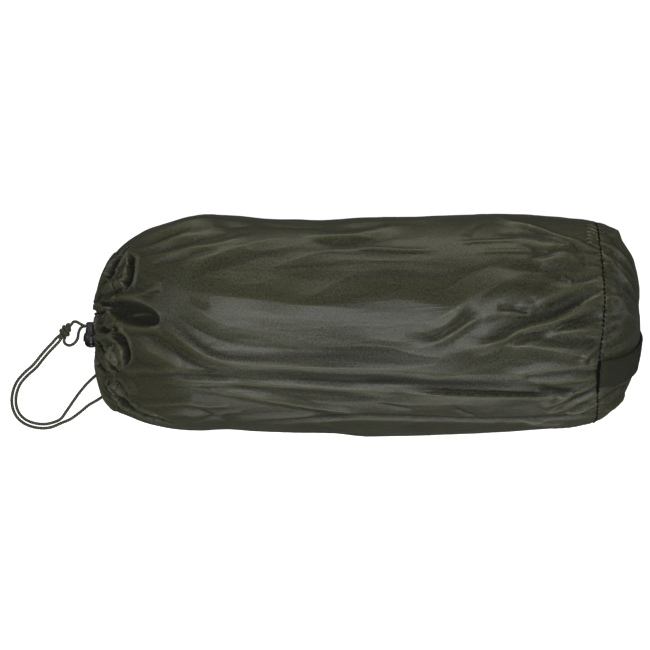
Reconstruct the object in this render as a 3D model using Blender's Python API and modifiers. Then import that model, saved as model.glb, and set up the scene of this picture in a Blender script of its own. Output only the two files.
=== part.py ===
"""Drawstring stuff sack, packed full and lying on its side, mouth drawn shut at -X.

Frame: +X along the sack towards its sewn bottom, +Z up, the flat underside at z = 0,
the origin under the middle of the sack.
Lengths in the tables are millimetres, angles are degrees.
"""
import math
from collections import namedtuple

import bmesh
import bpy
import numpy as np
from mathutils import Vector

MM = 0.001
CLEARANCE = 0.3              # between pieces that touch

# ---- driving dimensions -------------------------------------------------------------
SEAM_X = 197.0               # seam between the tube and the bottom panel
SEAM_CROWN = 7.0             # how far the seam's upper half is pushed towards +X
PANEL_BULGE = 40.5           # bulge of the bottom panel past the seam
SEAM_WAVE_START = 120.0      # the seam's own wave fades in from here
SEAM_MARGIN = 30.0           # folds fade out this far before the seam
SACK_RADIUS = 88.0           # mean, for distances round the sack
SIDES = 60                   # points round a ring
PANEL_RINGS = (1.0, 0.985, 0.95, 0.89, 0.8, 0.68, 0.52, 0.34, 0.16)   # shares of the radius
CORD_DIAMETER = 2.8
WEBBING_WIDTH = 28.0
WEBBING_THICKNESS = 1.8

# Sections of the packed sack from the floor of the mouth's dimple to the seam.
# An under below 0 is cloth that the weight presses flat on the surface.
Section = namedtuple("Section", "x plus_y minus_y top under rings")
SECTIONS = (
    Section(-227.0, 6.5, -2.0, 37.0, 28.0, 1),      # floor of the dimple
    Section(-231.5, 9.5, -5.5, 41.0, 24.0, 1),
    Section(-235.2, 11.5, -7.5, 43.5, 21.0, 2),     # lip of the dimple
    Section(-237.4, 17.0, -17.0, 49.0, 18.0, 2),
    Section(-236.2, 25.0, -38.0, 58.0, 13.0, 2),
    Section(-231.6, 41.0, -60.0, 75.0, 6.0, 2),
    Section(-225.5, 55.0, -71.0, 92.0, 1.5, 2),
    Section(-216.0, 66.5, -77.0, 107.0, -1.0, 2),
    Section(-204.0, 76.5, -82.5, 123.0, -3.5, 3),
    Section(-188.0, 84.5, -87.5, 141.0, -6.0, 3),
    Section(-168.0, 91.5, -91.0, 156.0, -8.5, 3),
    Section(-146.0, 95.5, -92.0, 164.0, -10.0, 3),
    Section(-118.0, 94.0, -91.5, 167.0, -11.0, 5),
    Section(-62.0, 92.0, -93.5, 167.0, -11.0, 8),
    Section(26.0, 94.5, -96.5, 168.0, -11.5, 8),
    Section(114.0, 95.5, -94.0, 167.0, -11.0, 6),
    Section(172.0, 93.5, -90.5, 164.0, -9.0, 3),
    Section(SEAM_X, 89.0, -85.0, 159.0, -6.0, 0),
)
RIM_SECTION = 4              # pleats start here and run outwards

# Pleats of the drawn mouth: a valley at each angle, 0 at +Y and 90 on top,
# that fades out after its reach, counted in sections from the rim.
Pleat = namedtuple("Pleat", "angle width depth reach")
PLEATS = (
    Pleat(18, 9, 4.2, 4.5),
    Pleat(39, 8, 4.8, 5.2),
    Pleat(127, 8, 4.0, 3.2),
    Pleat(146, 9, 4.4, 4.0),
    Pleat(166, 8, 4.0, 5.0),
    Pleat(188, 10, 4.8, 6.0),
    Pleat(211, 8, 3.6, 4.4),
    Pleat(234, 9, 4.2, 4.0),
    Pleat(259, 10, 3.4, 3.2),
    Pleat(287, 9, 4.0, 3.6),
    Pleat(312, 8, 4.4, 5.0),
    Pleat(334, 9, 4.8, 5.6),
    Pleat(357, 8, 4.2, 4.8),
)

# Main folds: an arc through three points, seen from above (across is y) or from one
# side (across is z), pressed in by depth over a half width of width.
Fold = namedtuple("Fold", "side x1 across1 x2 across2 x3 across3 depth width")
FOLDS = (
    # pocket and ridge where the top cloth dives into the mouth
    Fold("top", -228, 16, -206, 10, -181, -1, 8.0, 8.0),
    Fold("top", -232, 24, -208, 28, -178, 31, 3.5, 7.0),
    Fold("top", -214, 57, -213, 43, -214, 30, 4.0, 6.0),
    Fold("top", -221, -12, -210, -22, -207, -36, 5.0, 6.0),
    Fold("top", -236, -17, -226, -31, -216, -45, 4.0, 6.0),
    Fold("top", -228, -52, -214, -70, -178, -84, 4.0, 7.0),
    # creases fanning from the mouth's upper shoulder
    Fold("top", -203, 57, -165, 70, -82, 77, 3.0, 8.0),
    Fold("top", -205, 44, -150, 61, -88, 76, 2.6, 8.0),
    # long creases down the lower half of the crown
    Fold("top", -181, -1, -110, -34, 190, -37, 4.2, 8.0),
    Fold("top", -196, -44, -60, -56, 176, -60, 4.6, 8.0),
    Fold("top", -176, -50, -70, -67, 40, -72, 3.2, 7.0),
    Fold("top", -146, -88, -60, -80, 90, -76, 3.4, 8.0),
    Fold("top", 197, -50, 178, -62, 155, -76, 3.0, 7.0),
    # diagonals from the seam's upper half
    Fold("top", 190, 18, 118, -6, 68, -20, 3.6, 9.0),
    Fold("top", 105, 36, 84, 8, 40, -12, 3.0, 9.0),
    Fold("top", 140, 83, 170, 74, 193, 61, 3.6, 8.0),
    Fold("top", -55, 75, -20, 84, 18, 89, 2.6, 9.0),
    # folds on the sides that turn away from the view above
    Fold("plus_y", -190, 70, -140, 92, -70, 98, 3.4, 9.0),
    Fold("plus_y", -150, 40, -60, 52, 60, 40, 3.8, 10.0),
    Fold("plus_y", 40, 100, 110, 88, 190, 96, 3.4, 9.0),
    Fold("plus_y", 90, 30, 140, 46, 192, 40, 3.0, 9.0),
    Fold("minus_y", -180, 46, -110, 58, -40, 52, 3.4, 9.0),
    Fold("minus_y", -60, 28, 30, 40, 130, 30, 3.8, 10.0),
    Fold("minus_y", 70, 70, 130, 62, 192, 76, 3.4, 9.0),
)

# Soft lumps of the packed net: centre along x, angle round the sack, height and spread.
Lump = namedtuple("Lump", "x angle height spread")
LUMPS = (
    Lump(-120, 74, 2.2, 40),
    Lump(-40, 96, -2.0, 40),
    Lump(30, 64, 2.2, 44),
    Lump(110, 84, 2.2, 40),
    Lump(60, 124, 2.0, 34),
    Lump(-95, 136, 2.0, 36),
    Lump(150, 44, 2.0, 32),
    Lump(-20, 32, -2.0, 38),
    Lump(90, 322, 2.4, 42),
    Lump(-110, 326, 2.2, 38),
    Lump(10, 216, 2.4, 40),
    Lump(130, 214, -2.0, 36),
)

# Webbing over the bottom panel: angle and share of the panel's radius at both ends. The
# lower end stops where the panel meets the surface.
STRAP_TOP_ANGLE = 119.0
STRAP_TOP_SHARE = 0.985
STRAP_FOOT_ANGLE = 266.0
STRAP_FOOT_SHARE = 0.905
STRAP_CLEARANCE = 0.55
STRAP_ROWS = 22

# Cord lock: its axis runs along -Y, from the barrel's closed end to the ball. Depths are
# measured along it from the closed end.
LOCK_X = -243.4
LOCK_TOP_Y = 2.4
LOCK_Z = 7.4
LOCK_BARREL_RADIUS = 5.0
LOCK_BALL_RADIUS = 7.0
LOCK_SHOULDER_DEPTH = 8.8    # where the barrel starts to flare
LOCK_EDGE_DEPTH = 17.4       # rim of the flare, the line round the ball
LOCK_END_DEPTH = 22.8        # crown of the button
LOCK_BORE_END = 1.6          # depth where the stem's bore ends
BUTTON_SINK = 0.8            # how far the button's shoulder sits inside the flare's rim
BUTTON_RADIUS = 5.9
STEM_RADIUS = 2.6
CORD_HOLE_Y = -1.3
CORD_HOLE_WIDTH = 3.8        # a slot with round ends, one strand over the other
STRAND_RISE = 1.55           # each strand above or below the slot's middle
PRESS_TRAVEL = 3.0

# Knot of both strands: middle, half sizes and turn of its long axis.
KNOT_MIDDLE = (-266.6, -6.2)
KNOT_HALF_LENGTH = 9.4
KNOT_HALF_WIDTH = 6.0
KNOT_HEIGHT = 8.2
KNOT_TURN = 48.0

# Drawcord routes, x y z. Strand a is the upper one in the lock, strand b the lower.
LOOP_A = (
    (-235.1, -1.3, 8.95), (-240.0, -1.3, 8.95), (-244.6, -1.3, 8.95), (-249.2, -1.3, 8.95),
    (-252.8, 0.4, 8.1), (-256.2, 2.3, 6.5), (-258.8, 2.5, 5.4), (-260.1, 1.3, 4.8),
)
LOOP_B = (
    (-233.2, -1.3, 5.85), (-239.2, -1.3, 5.85), (-244.2, -1.3, 5.85), (-249.2, -1.3, 5.85),
    (-252.9, -3.3, 5.0), (-254.8, -7.6, 3.4), (-255.6, -12.2, 2.1), (-258.4, -16.4, 1.6),
    (-262.4, -18.4, 1.8), (-265.6, -17.6, 2.7), (-267.4, -15.3, 3.7),
)
TAIL_PAIR = (
    (-272.7, -13.0), (-276.8, -17.6), (-281.8, -22.8), (-287.4, -29.4), (-293.6, -37.0),
    (-301.0, -43.6), (-307.6, -51.4), (-311.2, -60.8), (-311.6, -70.6), (-308.4, -79.4),
    (-302.2, -85.4), (-294.2, -88.6), (-285.6, -89.6), (-278.0, -88.4),
)
TAIL_A_END = (
    (-270.6, -83.2, 1.5), (-265.2, -76.0, 1.5), (-260.0, -68.4, 1.5), (-254.4, -60.6, 1.5),
    (-248.0, -52.8, 1.5), (-241.8, -46.8, 1.9), (-236.6, -42.2, 3.2), (-232.6, -39.0, 5.6),
    (-230.2, -37.0, 7.4),
)
TAIL_B_END = (
    (-269.8, -86.8, 1.5), (-261.6, -83.2, 1.5), (-253.6, -77.4, 1.5), (-245.8, -71.0, 1.5),
    (-238.6, -66.8, 1.5), (-232.0, -62.4, 1.8), (-226.2, -57.2, 3.0), (-221.0, -52.0, 5.2),
    (-216.1, -46.7, 7.6),
)
PAIR_GAP = 0.8               # between the two strands where they lie side by side
TAIL_LIFT = 1.5              # height of the cord's middle on the surface
LOOP_STEP = 5.4
TAIL_STEP = 8.6


# ---- materials and collections --------------------------------------------------------
def principled(name, colour, roughness, metallic=0.0):
    material = bpy.data.materials.new(name)
    material.use_nodes = True
    shader = material.node_tree.nodes["Principled BSDF"]
    shader.inputs["Base Color"].default_value = (*colour, 1.0)
    shader.inputs["Roughness"].default_value = roughness
    shader.inputs["Metallic"].default_value = metallic
    return material


def new_collection(name):
    collection = bpy.data.collections.new(name)
    bpy.context.scene.collection.children.link(collection)
    return collection


def add_object(name, data, collection, material=None):
    obj = bpy.data.objects.new(name, data)
    collection.objects.link(obj)
    if material is not None:
        data.materials.append(material)
    return obj


# ---- curves and sections ---------------------------------------------------------------
def catmull_rom(rows, position):
    """Value of a smooth curve through the rows at a fractional row number."""
    rows = np.asarray(rows, float)
    last = len(rows) - 1
    start = min(int(position), last - 1)
    t = position - start
    p0, p1, p2, p3 = (rows[min(max(start + k, 0), last)] for k in (-1, 0, 1, 2))
    return 0.5 * (
        2 * p1 + (p2 - p0) * t + (2 * p0 - 5 * p1 + 4 * p2 - p3) * t**2
        + (3 * p1 - p0 - 3 * p2 + p3) * t**3
    )


def evenly_spaced(route, step):
    """Points about one step apart on a smooth curve through the route's points."""
    dense = np.array([catmull_rom(route, k / 20) for k in range(20 * (len(route) - 1) + 1)])
    run = np.concatenate([[0], np.cumsum(np.linalg.norm(np.diff(dense, axis=0), axis=1))])
    marks = np.linspace(0, run[-1], max(2, round(run[-1] / step)) + 1)
    return np.column_stack([np.interp(marks, run, dense[:, k]) for k in range(3)])


def ring_positions():
    """Fractional section numbers of the loft's rings."""
    positions = []
    for number, section in enumerate(SECTIONS):
        positions += [number + k / section.rings for k in range(section.rings)]
    return positions + [len(SECTIONS) - 1]


def section_point(section, angle):
    """Point of a section's oval at an angle, its underside not yet pressed flat."""
    x, plus_y, minus_y, top, under = section[:5]
    y = (plus_y + minus_y) / 2 + (plus_y - minus_y) / 2 * math.cos(angle)
    z = (top + under) / 2 + (top - under) / 2 * math.sin(angle)
    return x, y, z


def seam_shift(angle):
    """The seam's own wave round the sack: its crown leans towards +X."""
    return SEAM_CROWN * max(0.0, math.sin(angle)) ** 1.5 + 0.8 * math.sin(5 * angle)


def grid_normals(points, closed):
    """Outward unit normals of a grid of points, columns running round a ring."""
    along = np.gradient(points, axis=0)
    if closed:
        around = (np.roll(points, -1, axis=1) - np.roll(points, 1, axis=1)) / 2
    else:
        around = np.gradient(points, axis=1)
    normals = np.cross(around, along)
    lengths = np.linalg.norm(normals, axis=2, keepdims=True)
    return normals / np.maximum(lengths, 1e-9)


# ---- relief of the sack's cloth ----------------------------------------------------------
def taper(share, part=0.18):
    """0 at both ends of a run, 1 in between."""
    return np.clip(np.minimum(share, 1 - share) / part, 0, 1) ** 0.7


def pleat_relief(positions, angles):
    relief = np.zeros((len(positions), len(angles)))
    out = np.asarray(positions)[:, None] - RIM_SECTION
    for pleat in PLEATS:
        turn = (np.degrees(angles)[None, :] - pleat.angle + 180) % 360 - 180
        valley = np.clip(1 - np.abs(turn) / pleat.width, 0, 1) ** 1.2
        lips = np.exp(-((np.abs(turn) - 1.25 * pleat.width) / (0.6 * pleat.width)) ** 2)
        fade = np.clip(1 - out / pleat.reach, 0, 1) * np.clip((out + 1.4) / 1.4, 0, 1)
        relief += pleat.depth * fade * (0.3 * lips - valley)
    return relief


def fold_relief(fold, points, normals):
    """Valley with raised lips along the fold's arc, laid on the cloth's nearest points."""
    across_axis = 1 if fold.side == "top" else 2
    facing = {"top": normals[:, :, 2] > 0.1, "plus_y": normals[:, :, 1] > 0.1,
              "minus_y": normals[:, :, 1] < -0.1}[fold.side]
    reachable = points[facing]
    start, middle, end = (np.array(pair) for pair in (
        (fold.x1, fold.across1), (fold.x2, fold.across2), (fold.x3, fold.across3)))
    handle = 2 * middle - (start + end) / 2
    shares = np.linspace(0, 1, 41)
    arc = [(1 - t) ** 2 * start + 2 * t * (1 - t) * handle + t**2 * end for t in shares]
    plan = reachable[:, [0, across_axis]]
    line = np.array([reachable[np.argmin(((plan - p) ** 2).sum(axis=1))] for p in arc])
    line[:, 0] = [p[0] for p in arc]
    line[:, across_axis] = [p[1] for p in arc]
    gaps = np.linalg.norm(points[:, :, None, :] - line[None, None], axis=3)
    nearest = gaps.argmin(axis=2)
    distance = gaps.min(axis=2) / fold.width
    valley = np.exp(-np.abs(distance) ** 1.5)
    lips = np.exp(-((distance - 1.5) / 0.6) ** 2)
    return fold.depth * taper(shares)[nearest] * (0.4 * lips - valley)


def lump_relief(points, angles):
    relief = np.zeros(points.shape[:2])
    for lump in LUMPS:
        turn = (angles[None, :] - math.radians(lump.angle) + math.pi) % (2 * math.pi) - math.pi
        reach = ((points[:, :, 0] - lump.x) ** 2 + (turn * SACK_RADIUS) ** 2) / lump.spread**2
        relief += lump.height * np.exp(-reach)
    return relief


def sack_surface():
    """Grid of the sack's outer points, rings from the dimple's floor to the seam."""
    positions = ring_positions()
    angles = np.arange(SIDES) * 2 * math.pi / SIDES
    rows = [section[:5] for section in SECTIONS]
    points = np.array([[section_point(catmull_rom(rows, p), a) for a in angles]
                       for p in positions])
    wave = np.clip((points[:, :, 0] - SEAM_WAVE_START) / (SEAM_X - SEAM_WAVE_START), 0, 1) ** 2
    points[:, :, 0] += wave * np.array([seam_shift(a) for a in angles])[None, :]
    normals = grid_normals(points, closed=True)
    relief = pleat_relief(positions, angles) + lump_relief(points, angles)
    for fold in FOLDS:
        relief += fold_relief(fold, points, normals)
    rim = np.clip((np.asarray(positions) - 2.2) / 1.2, 0, 1)[:, None]
    seam = np.clip((SEAM_X - points[:, :, 0]) / SEAM_MARGIN, 0, 1)
    points += normals * (relief * rim * seam)[:, :, None]
    points[:, :, 2] = np.maximum(points[:, :, 2], 0.0)
    return points


def panel_surface(rim_ring):
    """Grid of the bottom panel from the seam ring to the middle of its bulge."""
    angles = np.arange(SIDES) * 2 * math.pi / SIDES
    section = SECTIONS[-1]
    rings = [rim_ring + np.array([CLEARANCE, 0, 0])]
    for share in PANEL_RINGS[1:]:
        ring = []
        for angle, rim_point in zip(angles, rim_ring):
            y, z = section_point(section, angle)[1:]
            middle_y = (section.plus_y + section.minus_y) / 2
            middle_z = (section.top + section.under) / 2
            y = middle_y + (y - middle_y) * share
            z = max(0.0, middle_z + (z - middle_z) * share)
            rim_x = rim_point[0] * share**3 + SEAM_X * (1 - share**3)
            ring.append((rim_x + CLEARANCE + panel_bulge(share, angle), y, z))
        rings.append(np.array(ring))
    return np.array(rings)


def panel_bulge(share, angle):
    """Height of the bottom panel over the seam's plane, fuller towards +Y."""
    fullness = 0.5 + 0.5 * math.cos(angle)
    power = 2.0 + 0.6 * fullness
    root = 0.70 - 0.24 * fullness
    crease = math.exp(-((math.degrees(angle) - 47) / 9) ** 2) * 2.5 * share**2 * (1 - share)
    return PANEL_BULGE * max(0.0, 1 - share**power) ** root - 4 * crease


# ---- meshes --------------------------------------------------------------------------------
def lofted_mesh(name, rings, start_middle, end_middle):
    """Closed mesh through rings of equal count, each end closed by a fan to its middle."""
    mesh = bmesh.new()
    loops = [[mesh.verts.new(Vector(p) * MM) for p in ring] for ring in rings]
    for loop, after in zip(loops, loops[1:]):
        for k in range(len(loop)):
            n = (k + 1) % len(loop)
            mesh.faces.new((loop[k], loop[n], after[n], after[k]))
    for loop, middle, turn in ((loops[0], start_middle, 1), (loops[-1], end_middle, -1)):
        tip = mesh.verts.new(Vector(middle) * MM)
        for k in range(len(loop)):
            pair = (loop[(k + 1) % len(loop)], loop[k])
            mesh.faces.new((*pair[::turn], tip))
    bmesh.ops.recalc_face_normals(mesh, faces=mesh.faces)
    data = bpy.data.meshes.new(name)
    mesh.to_mesh(data)
    mesh.free()
    data.shade_smooth()
    data.set_sharp_from_angle(angle=math.radians(50))
    return data


def make_sack(collection, material):
    rings = sack_surface()
    add_object("sack_body", lofted_mesh(
        "sack_body", rings, rings[0].mean(axis=0), seam_middle()), collection, material)
    return rings


def seam_middle():
    section = SECTIONS[-1]
    return (SEAM_X, (section.plus_y + section.minus_y) / 2, (section.top + section.under) / 2)


def make_panel(seam_ring, collection, material):
    rings = panel_surface(seam_ring)
    middle = Vector(seam_middle())
    back = middle + Vector((CLEARANCE, 0, 0))
    crown = middle + Vector((CLEARANCE + PANEL_BULGE, 0, 0))
    add_object("end_panel", lofted_mesh("end_panel", rings, back, crown), collection, material)


def panel_point(seam_ring, y, z):
    """Point of the bottom panel's outer face at y and z."""
    u, w = oval_shares(y, z)
    share = min(math.hypot(u, w), 1.0)
    angle = math.atan2(w, u) % (2 * math.pi)
    rim_x = np.interp(angle, np.arange(SIDES + 1) * 2 * math.pi / SIDES,
                      np.append(seam_ring[:, 0], seam_ring[0, 0]))
    x = rim_x * share**3 + SEAM_X * (1 - share**3) + CLEARANCE + panel_bulge(share, angle)
    return np.array([x, y, z])


def oval_shares(y, z):
    """Place of y and z in the seam's oval, each as a share of its half size."""
    section = SECTIONS[-1]
    middle = seam_middle()
    half_width = (section.plus_y - section.minus_y) / 2
    half_height = (section.top - section.under) / 2
    return (y - middle[1]) / half_width, (z - middle[2]) / half_height


def strap_end(angle, share, offset):
    """Point of a strap's end beside its middle by offset, on an oval inside the seam's."""
    section = SECTIONS[-1]
    middle = seam_middle()
    radius = (section.plus_y - section.minus_y) / 2
    turned = math.radians(angle) + offset / (radius * share)
    y, z = section_point(section, turned)[1:]
    return np.array([middle[1] + (y - middle[1]) * share, middle[2] + (z - middle[2]) * share])


def make_strap(seam_ring, collection, material):
    """Webbing: one closed band whose inner face follows the panel."""
    offsets = np.linspace(-0.5, 0.5, 6) * WEBBING_WIDTH
    runs = (1 - np.cos(np.linspace(0, math.pi, STRAP_ROWS))) / 2
    tops = [strap_end(STRAP_TOP_ANGLE, STRAP_TOP_SHARE, offset) for offset in offsets]
    feet = [strap_end(STRAP_FOOT_ANGLE, STRAP_FOOT_SHARE, -offset) for offset in offsets]
    inner = np.array([[panel_point(seam_ring, *(top * (1 - t) + foot * t))
                       for top, foot in zip(tops, feet)] for t in runs])
    normals = grid_normals(inner, closed=False)
    normals *= np.sign(normals[:, :, :1])
    sections = []
    for row, normal in zip(inner, normals):
        low = row + normal * STRAP_CLEARANCE
        high = row + normal * (STRAP_CLEARANCE + WEBBING_THICKNESS)
        sections.append(np.vstack([low, high[::-1]]))
    middles = [part.mean(axis=0) for part in (sections[0], sections[-1])]
    add_object("grab_strap", lofted_mesh("grab_strap", sections, *middles), collection, material)


def make_net_peek(sack_rings, collection, material):
    """Plug of packed net that fills the mouth's dimple and swells out of it unevenly."""
    lip = 4                                  # rings from the dimple's floor to its lip
    inset = 0.5                              # from the dimple's wall
    rings = []
    for ring in sack_rings[:lip]:
        middle = ring.mean(axis=0)
        spokes = ring - middle
        lengths = np.linalg.norm(spokes, axis=1, keepdims=True)
        rings.append((middle + spokes * (1 - inset / lengths))[::3])
    rings[0] = rings[0] - np.array([inset, 0, 0])
    mouth = rings[-1]
    middle = mouth.mean(axis=0)
    for scale, rise in ((0.9, 1.8), (0.62, 2.9)):
        swell = middle + (mouth - middle) * scale
        wave = 0.7 * np.sin(np.arange(len(mouth)) * 2 * math.pi * 3 / len(mouth))
        swell[:, 0] -= rise + wave
        rings.append(swell)
    crown = middle - np.array([3.2, 0, 0])
    add_object("net_peek", lofted_mesh("net_peek", rings, rings[0].mean(axis=0), crown),
               collection, material)


# ---- cord lock -----------------------------------------------------------------------------
def turned_object(name, profile, collection, material):
    """Solid turned about Z from a profile of (radius, height) run down its outer side."""
    mesh = bmesh.new()
    points = [mesh.verts.new((r * MM, 0.0, h * MM)) for r, h in profile]
    for pair in zip(points, points[1:]):
        mesh.edges.new(pair)
    data = bpy.data.meshes.new(name)
    mesh.to_mesh(data)
    mesh.free()
    obj = add_object(name, data, collection, material)
    screw = obj.modifiers.new("turn", "SCREW")
    screw.steps = screw.render_steps = 24
    screw.use_merge_vertices = True
    screw.merge_threshold = 0.00001
    screw.use_smooth_shade = True
    return obj


def make_lock(collection, cutters, barrel_material, button_material):
    frame = bpy.data.objects.new("lock_frame", None)
    collection.objects.link(frame)
    frame.location = Vector((LOCK_X, LOCK_TOP_Y, LOCK_Z)) * MM
    frame.rotation_euler = (math.radians(-90), 0, 0)     # depth, local -Z, runs along -Y
    flare, ball, stem = LOCK_BARREL_RADIUS, LOCK_BALL_RADIUS, STEM_RADIUS
    hole_depth = LOCK_TOP_Y - CORD_HOLE_Y + CORD_HOLE_WIDTH / 2
    stem_top = hole_depth + PRESS_TRAVEL + CLEARANCE
    button_top = LOCK_EDGE_DEPTH - BUTTON_SINK
    pocket = button_top - PRESS_TRAVEL - 2 * CLEARANCE
    barrel = turned_object("lock_barrel", (
        (0, 0), (flare - 1.6, -0.2), (flare - 0.4, -1.0), (flare, -2.4),
        (flare, -LOCK_SHOULDER_DEPTH), (flare + 0.9, -10.2), (ball - 0.3, -12.0),
        (ball, -14.2), (ball, -LOCK_EDGE_DEPTH), (BUTTON_RADIUS + CLEARANCE, -LOCK_EDGE_DEPTH),
        (BUTTON_RADIUS + CLEARANCE, -pocket), (stem + CLEARANCE, -pocket),
        (stem + CLEARANCE, -LOCK_BORE_END), (0, -LOCK_BORE_END),
    ), collection, barrel_material)
    button = turned_object("lock_button", (
        (0, -stem_top), (stem, -stem_top), (stem, -button_top), (BUTTON_RADIUS, -button_top),
        (BUTTON_RADIUS, -18.6), (BUTTON_RADIUS - 0.4, -20.3), (BUTTON_RADIUS - 1.5, -21.7),
        (BUTTON_RADIUS - 3.5, -22.5), (0, -LOCK_END_DEPTH),
    ), collection, button_material)
    bpy.ops.mesh.primitive_cylinder_add(
        vertices=16, radius=0.5, depth=1.0, rotation=(0, 0, math.pi / 16))
    cutter = bpy.context.object
    cutter.name = "cord_hole_cutter"
    cutter.data.transform(cutter.matrix_basis)
    cutter.rotation_euler = (0, 0, 0)
    for vertex in cutter.data.vertices:
        x, y, z = vertex.co
        rise = math.copysign(STRAND_RISE, x)
        vertex.co = Vector((
            z * 3 * LOCK_BARREL_RADIUS, y * CORD_HOLE_WIDTH, x * CORD_HOLE_WIDTH + rise)) * MM
    cutter.data.flip_normals()
    cutter.location = Vector((LOCK_X, CORD_HOLE_Y, LOCK_Z)) * MM
    for owner in cutter.users_collection:
        owner.objects.unlink(cutter)
    cutters.objects.link(cutter)
    cutter.hide_render = True
    cutter.display_type = "WIRE"
    cut = barrel.modifiers.new("cord hole", "BOOLEAN")
    cut.operation = "DIFFERENCE"
    cut.object = cutter
    for piece in (barrel, button):
        piece.parent = frame


# ---- drawcord --------------------------------------------------------------------------------
def make_tube(name, route, step, collection, material):
    points = evenly_spaced(route, step)
    data = bpy.data.curves.new(name, "CURVE")
    data.dimensions = "3D"
    spline = data.splines.new("POLY")
    spline.points.add(len(points) - 1)
    for target, point in zip(spline.points, points):
        target.co = (*(Vector(point) * MM), 1.0)
    data.bevel_depth = CORD_DIAMETER / 2 * MM
    data.bevel_resolution = 2
    data.use_fill_caps = True
    return add_object(name, data, collection, material)


def tail_route(side, end):
    """Strand beside the pair's middle line, then its own way back under the mouth."""
    pair = np.array(TAIL_PAIR)
    along = np.gradient(pair, axis=0)
    along /= np.linalg.norm(along, axis=1, keepdims=True)
    beside = np.column_stack([-along[:, 1], along[:, 0]])
    strand = pair + beside * side * (CORD_DIAMETER + PAIR_GAP) / 2
    lying = np.column_stack([strand, np.full(len(strand), TAIL_LIFT)])
    return np.vstack([lying, np.array(end)])


def make_knot(collection, material):
    """Lump of the overhand knot, ridged by the turns of its strands, flat underneath."""
    long_axis = np.array([math.cos(math.radians(KNOT_TURN)), math.sin(math.radians(KNOT_TURN))])
    wide_axis = np.array([-long_axis[1], long_axis[0]])
    rings = []
    for share in np.linspace(-0.92, 0.92, 11):
        girth = (1 - abs(share) ** 2.6) ** 0.5
        ring = []
        for k in range(16):
            angle = 2 * math.pi * k / 16
            ridge = 1 + 0.09 * math.cos(2 * angle + 5.5 * share)
            across = KNOT_HALF_WIDTH * girth * ridge * math.cos(angle)
            up = KNOT_HEIGHT / 2 * (1 + girth * ridge * math.sin(angle))
            plan = np.array(KNOT_MIDDLE) + long_axis * share * KNOT_HALF_LENGTH + wide_axis * across
            ring.append((*plan, max(up, 0.1)))
        rings.append(np.array(ring))
    tips = [ring.mean(axis=0) for ring in (rings[0], rings[-1])]
    add_object("cord_knot", lofted_mesh("cord_knot", rings, *tips), collection, material)


# ---- build -------------------------------------------------------------------------------------
def main():
    for obj in list(bpy.data.objects):
        bpy.data.objects.remove(obj, do_unlink=True)
    sack = new_collection("packed_stuff_sack")
    cutters = new_collection("cutters")
    cloth = principled("olive_cloth", (0.062, 0.062, 0.045), 0.6)
    webbing = principled("olive_webbing", (0.055, 0.056, 0.042), 0.7)
    net = principled("brown_net", (0.070, 0.047, 0.038), 0.9)
    cord = principled("olive_cord", (0.060, 0.060, 0.042), 0.8)
    black = principled("black_plastic", (0.008, 0.008, 0.009), 0.35)
    dark = principled("dark_plastic", (0.020, 0.020, 0.021), 0.45)

    rings = make_sack(sack, cloth)
    make_panel(rings[-1], sack, cloth)
    make_strap(rings[-1], sack, webbing)
    make_net_peek(rings, sack, net)
    make_lock(sack, cutters, dark, black)
    make_knot(sack, cord)
    make_tube("cord_loop_a", LOOP_A, LOOP_STEP, sack, cord)
    make_tube("cord_loop_b", LOOP_B, LOOP_STEP, sack, cord)
    make_tube("cord_tail_a", tail_route(1, TAIL_A_END), TAIL_STEP, sack, cord)
    make_tube("cord_tail_b", tail_route(-1, TAIL_B_END), TAIL_STEP, sack, cord)


main()
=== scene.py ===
"""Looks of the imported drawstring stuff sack, built round its CAD frame.

The frame lies in metres, +X along the sack towards its sewn bottom, +Z up and the flat
underside at z = 0. Tables and shapes here are in millimetres and degrees, as in the part's
source, and turn into metres when a mesh is made.
"""
import math
from collections import namedtuple

import bmesh
import bpy
import numpy as np
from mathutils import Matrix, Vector


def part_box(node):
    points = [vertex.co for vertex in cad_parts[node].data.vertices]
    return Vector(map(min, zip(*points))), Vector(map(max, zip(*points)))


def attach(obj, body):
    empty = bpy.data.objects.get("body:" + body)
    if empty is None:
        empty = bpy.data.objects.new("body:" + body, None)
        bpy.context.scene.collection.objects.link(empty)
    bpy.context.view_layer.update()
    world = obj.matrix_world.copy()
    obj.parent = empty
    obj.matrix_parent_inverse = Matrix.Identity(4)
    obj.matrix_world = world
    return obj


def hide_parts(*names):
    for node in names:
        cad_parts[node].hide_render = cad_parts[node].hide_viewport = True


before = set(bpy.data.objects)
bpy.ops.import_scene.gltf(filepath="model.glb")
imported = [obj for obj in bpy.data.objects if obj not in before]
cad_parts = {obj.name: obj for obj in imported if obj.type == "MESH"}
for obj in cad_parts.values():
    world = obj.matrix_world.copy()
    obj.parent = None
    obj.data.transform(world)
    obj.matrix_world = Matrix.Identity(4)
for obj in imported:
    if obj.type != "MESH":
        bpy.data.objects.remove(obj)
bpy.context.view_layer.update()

MM = 0.001
TURN = 2 * math.pi

# ---- the sack's driving shape, as in the part's source -------------------------------------------
SEAM_X = 197.0
SEAM_CROWN = 7.0
SEAM_BENDS = ((62, 1.4, 18), (114, -3.4, 28))    # angle, height and spread
PANEL_BULGE = 40.5
PANEL_LEAN = 0.045           # mm along x for each mm of y
SEAM_WAVE_START = 120.0
SACK_RADIUS = 88.0
CLEARANCE = 0.3
CORD_DIAMETER = 2.8

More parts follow.
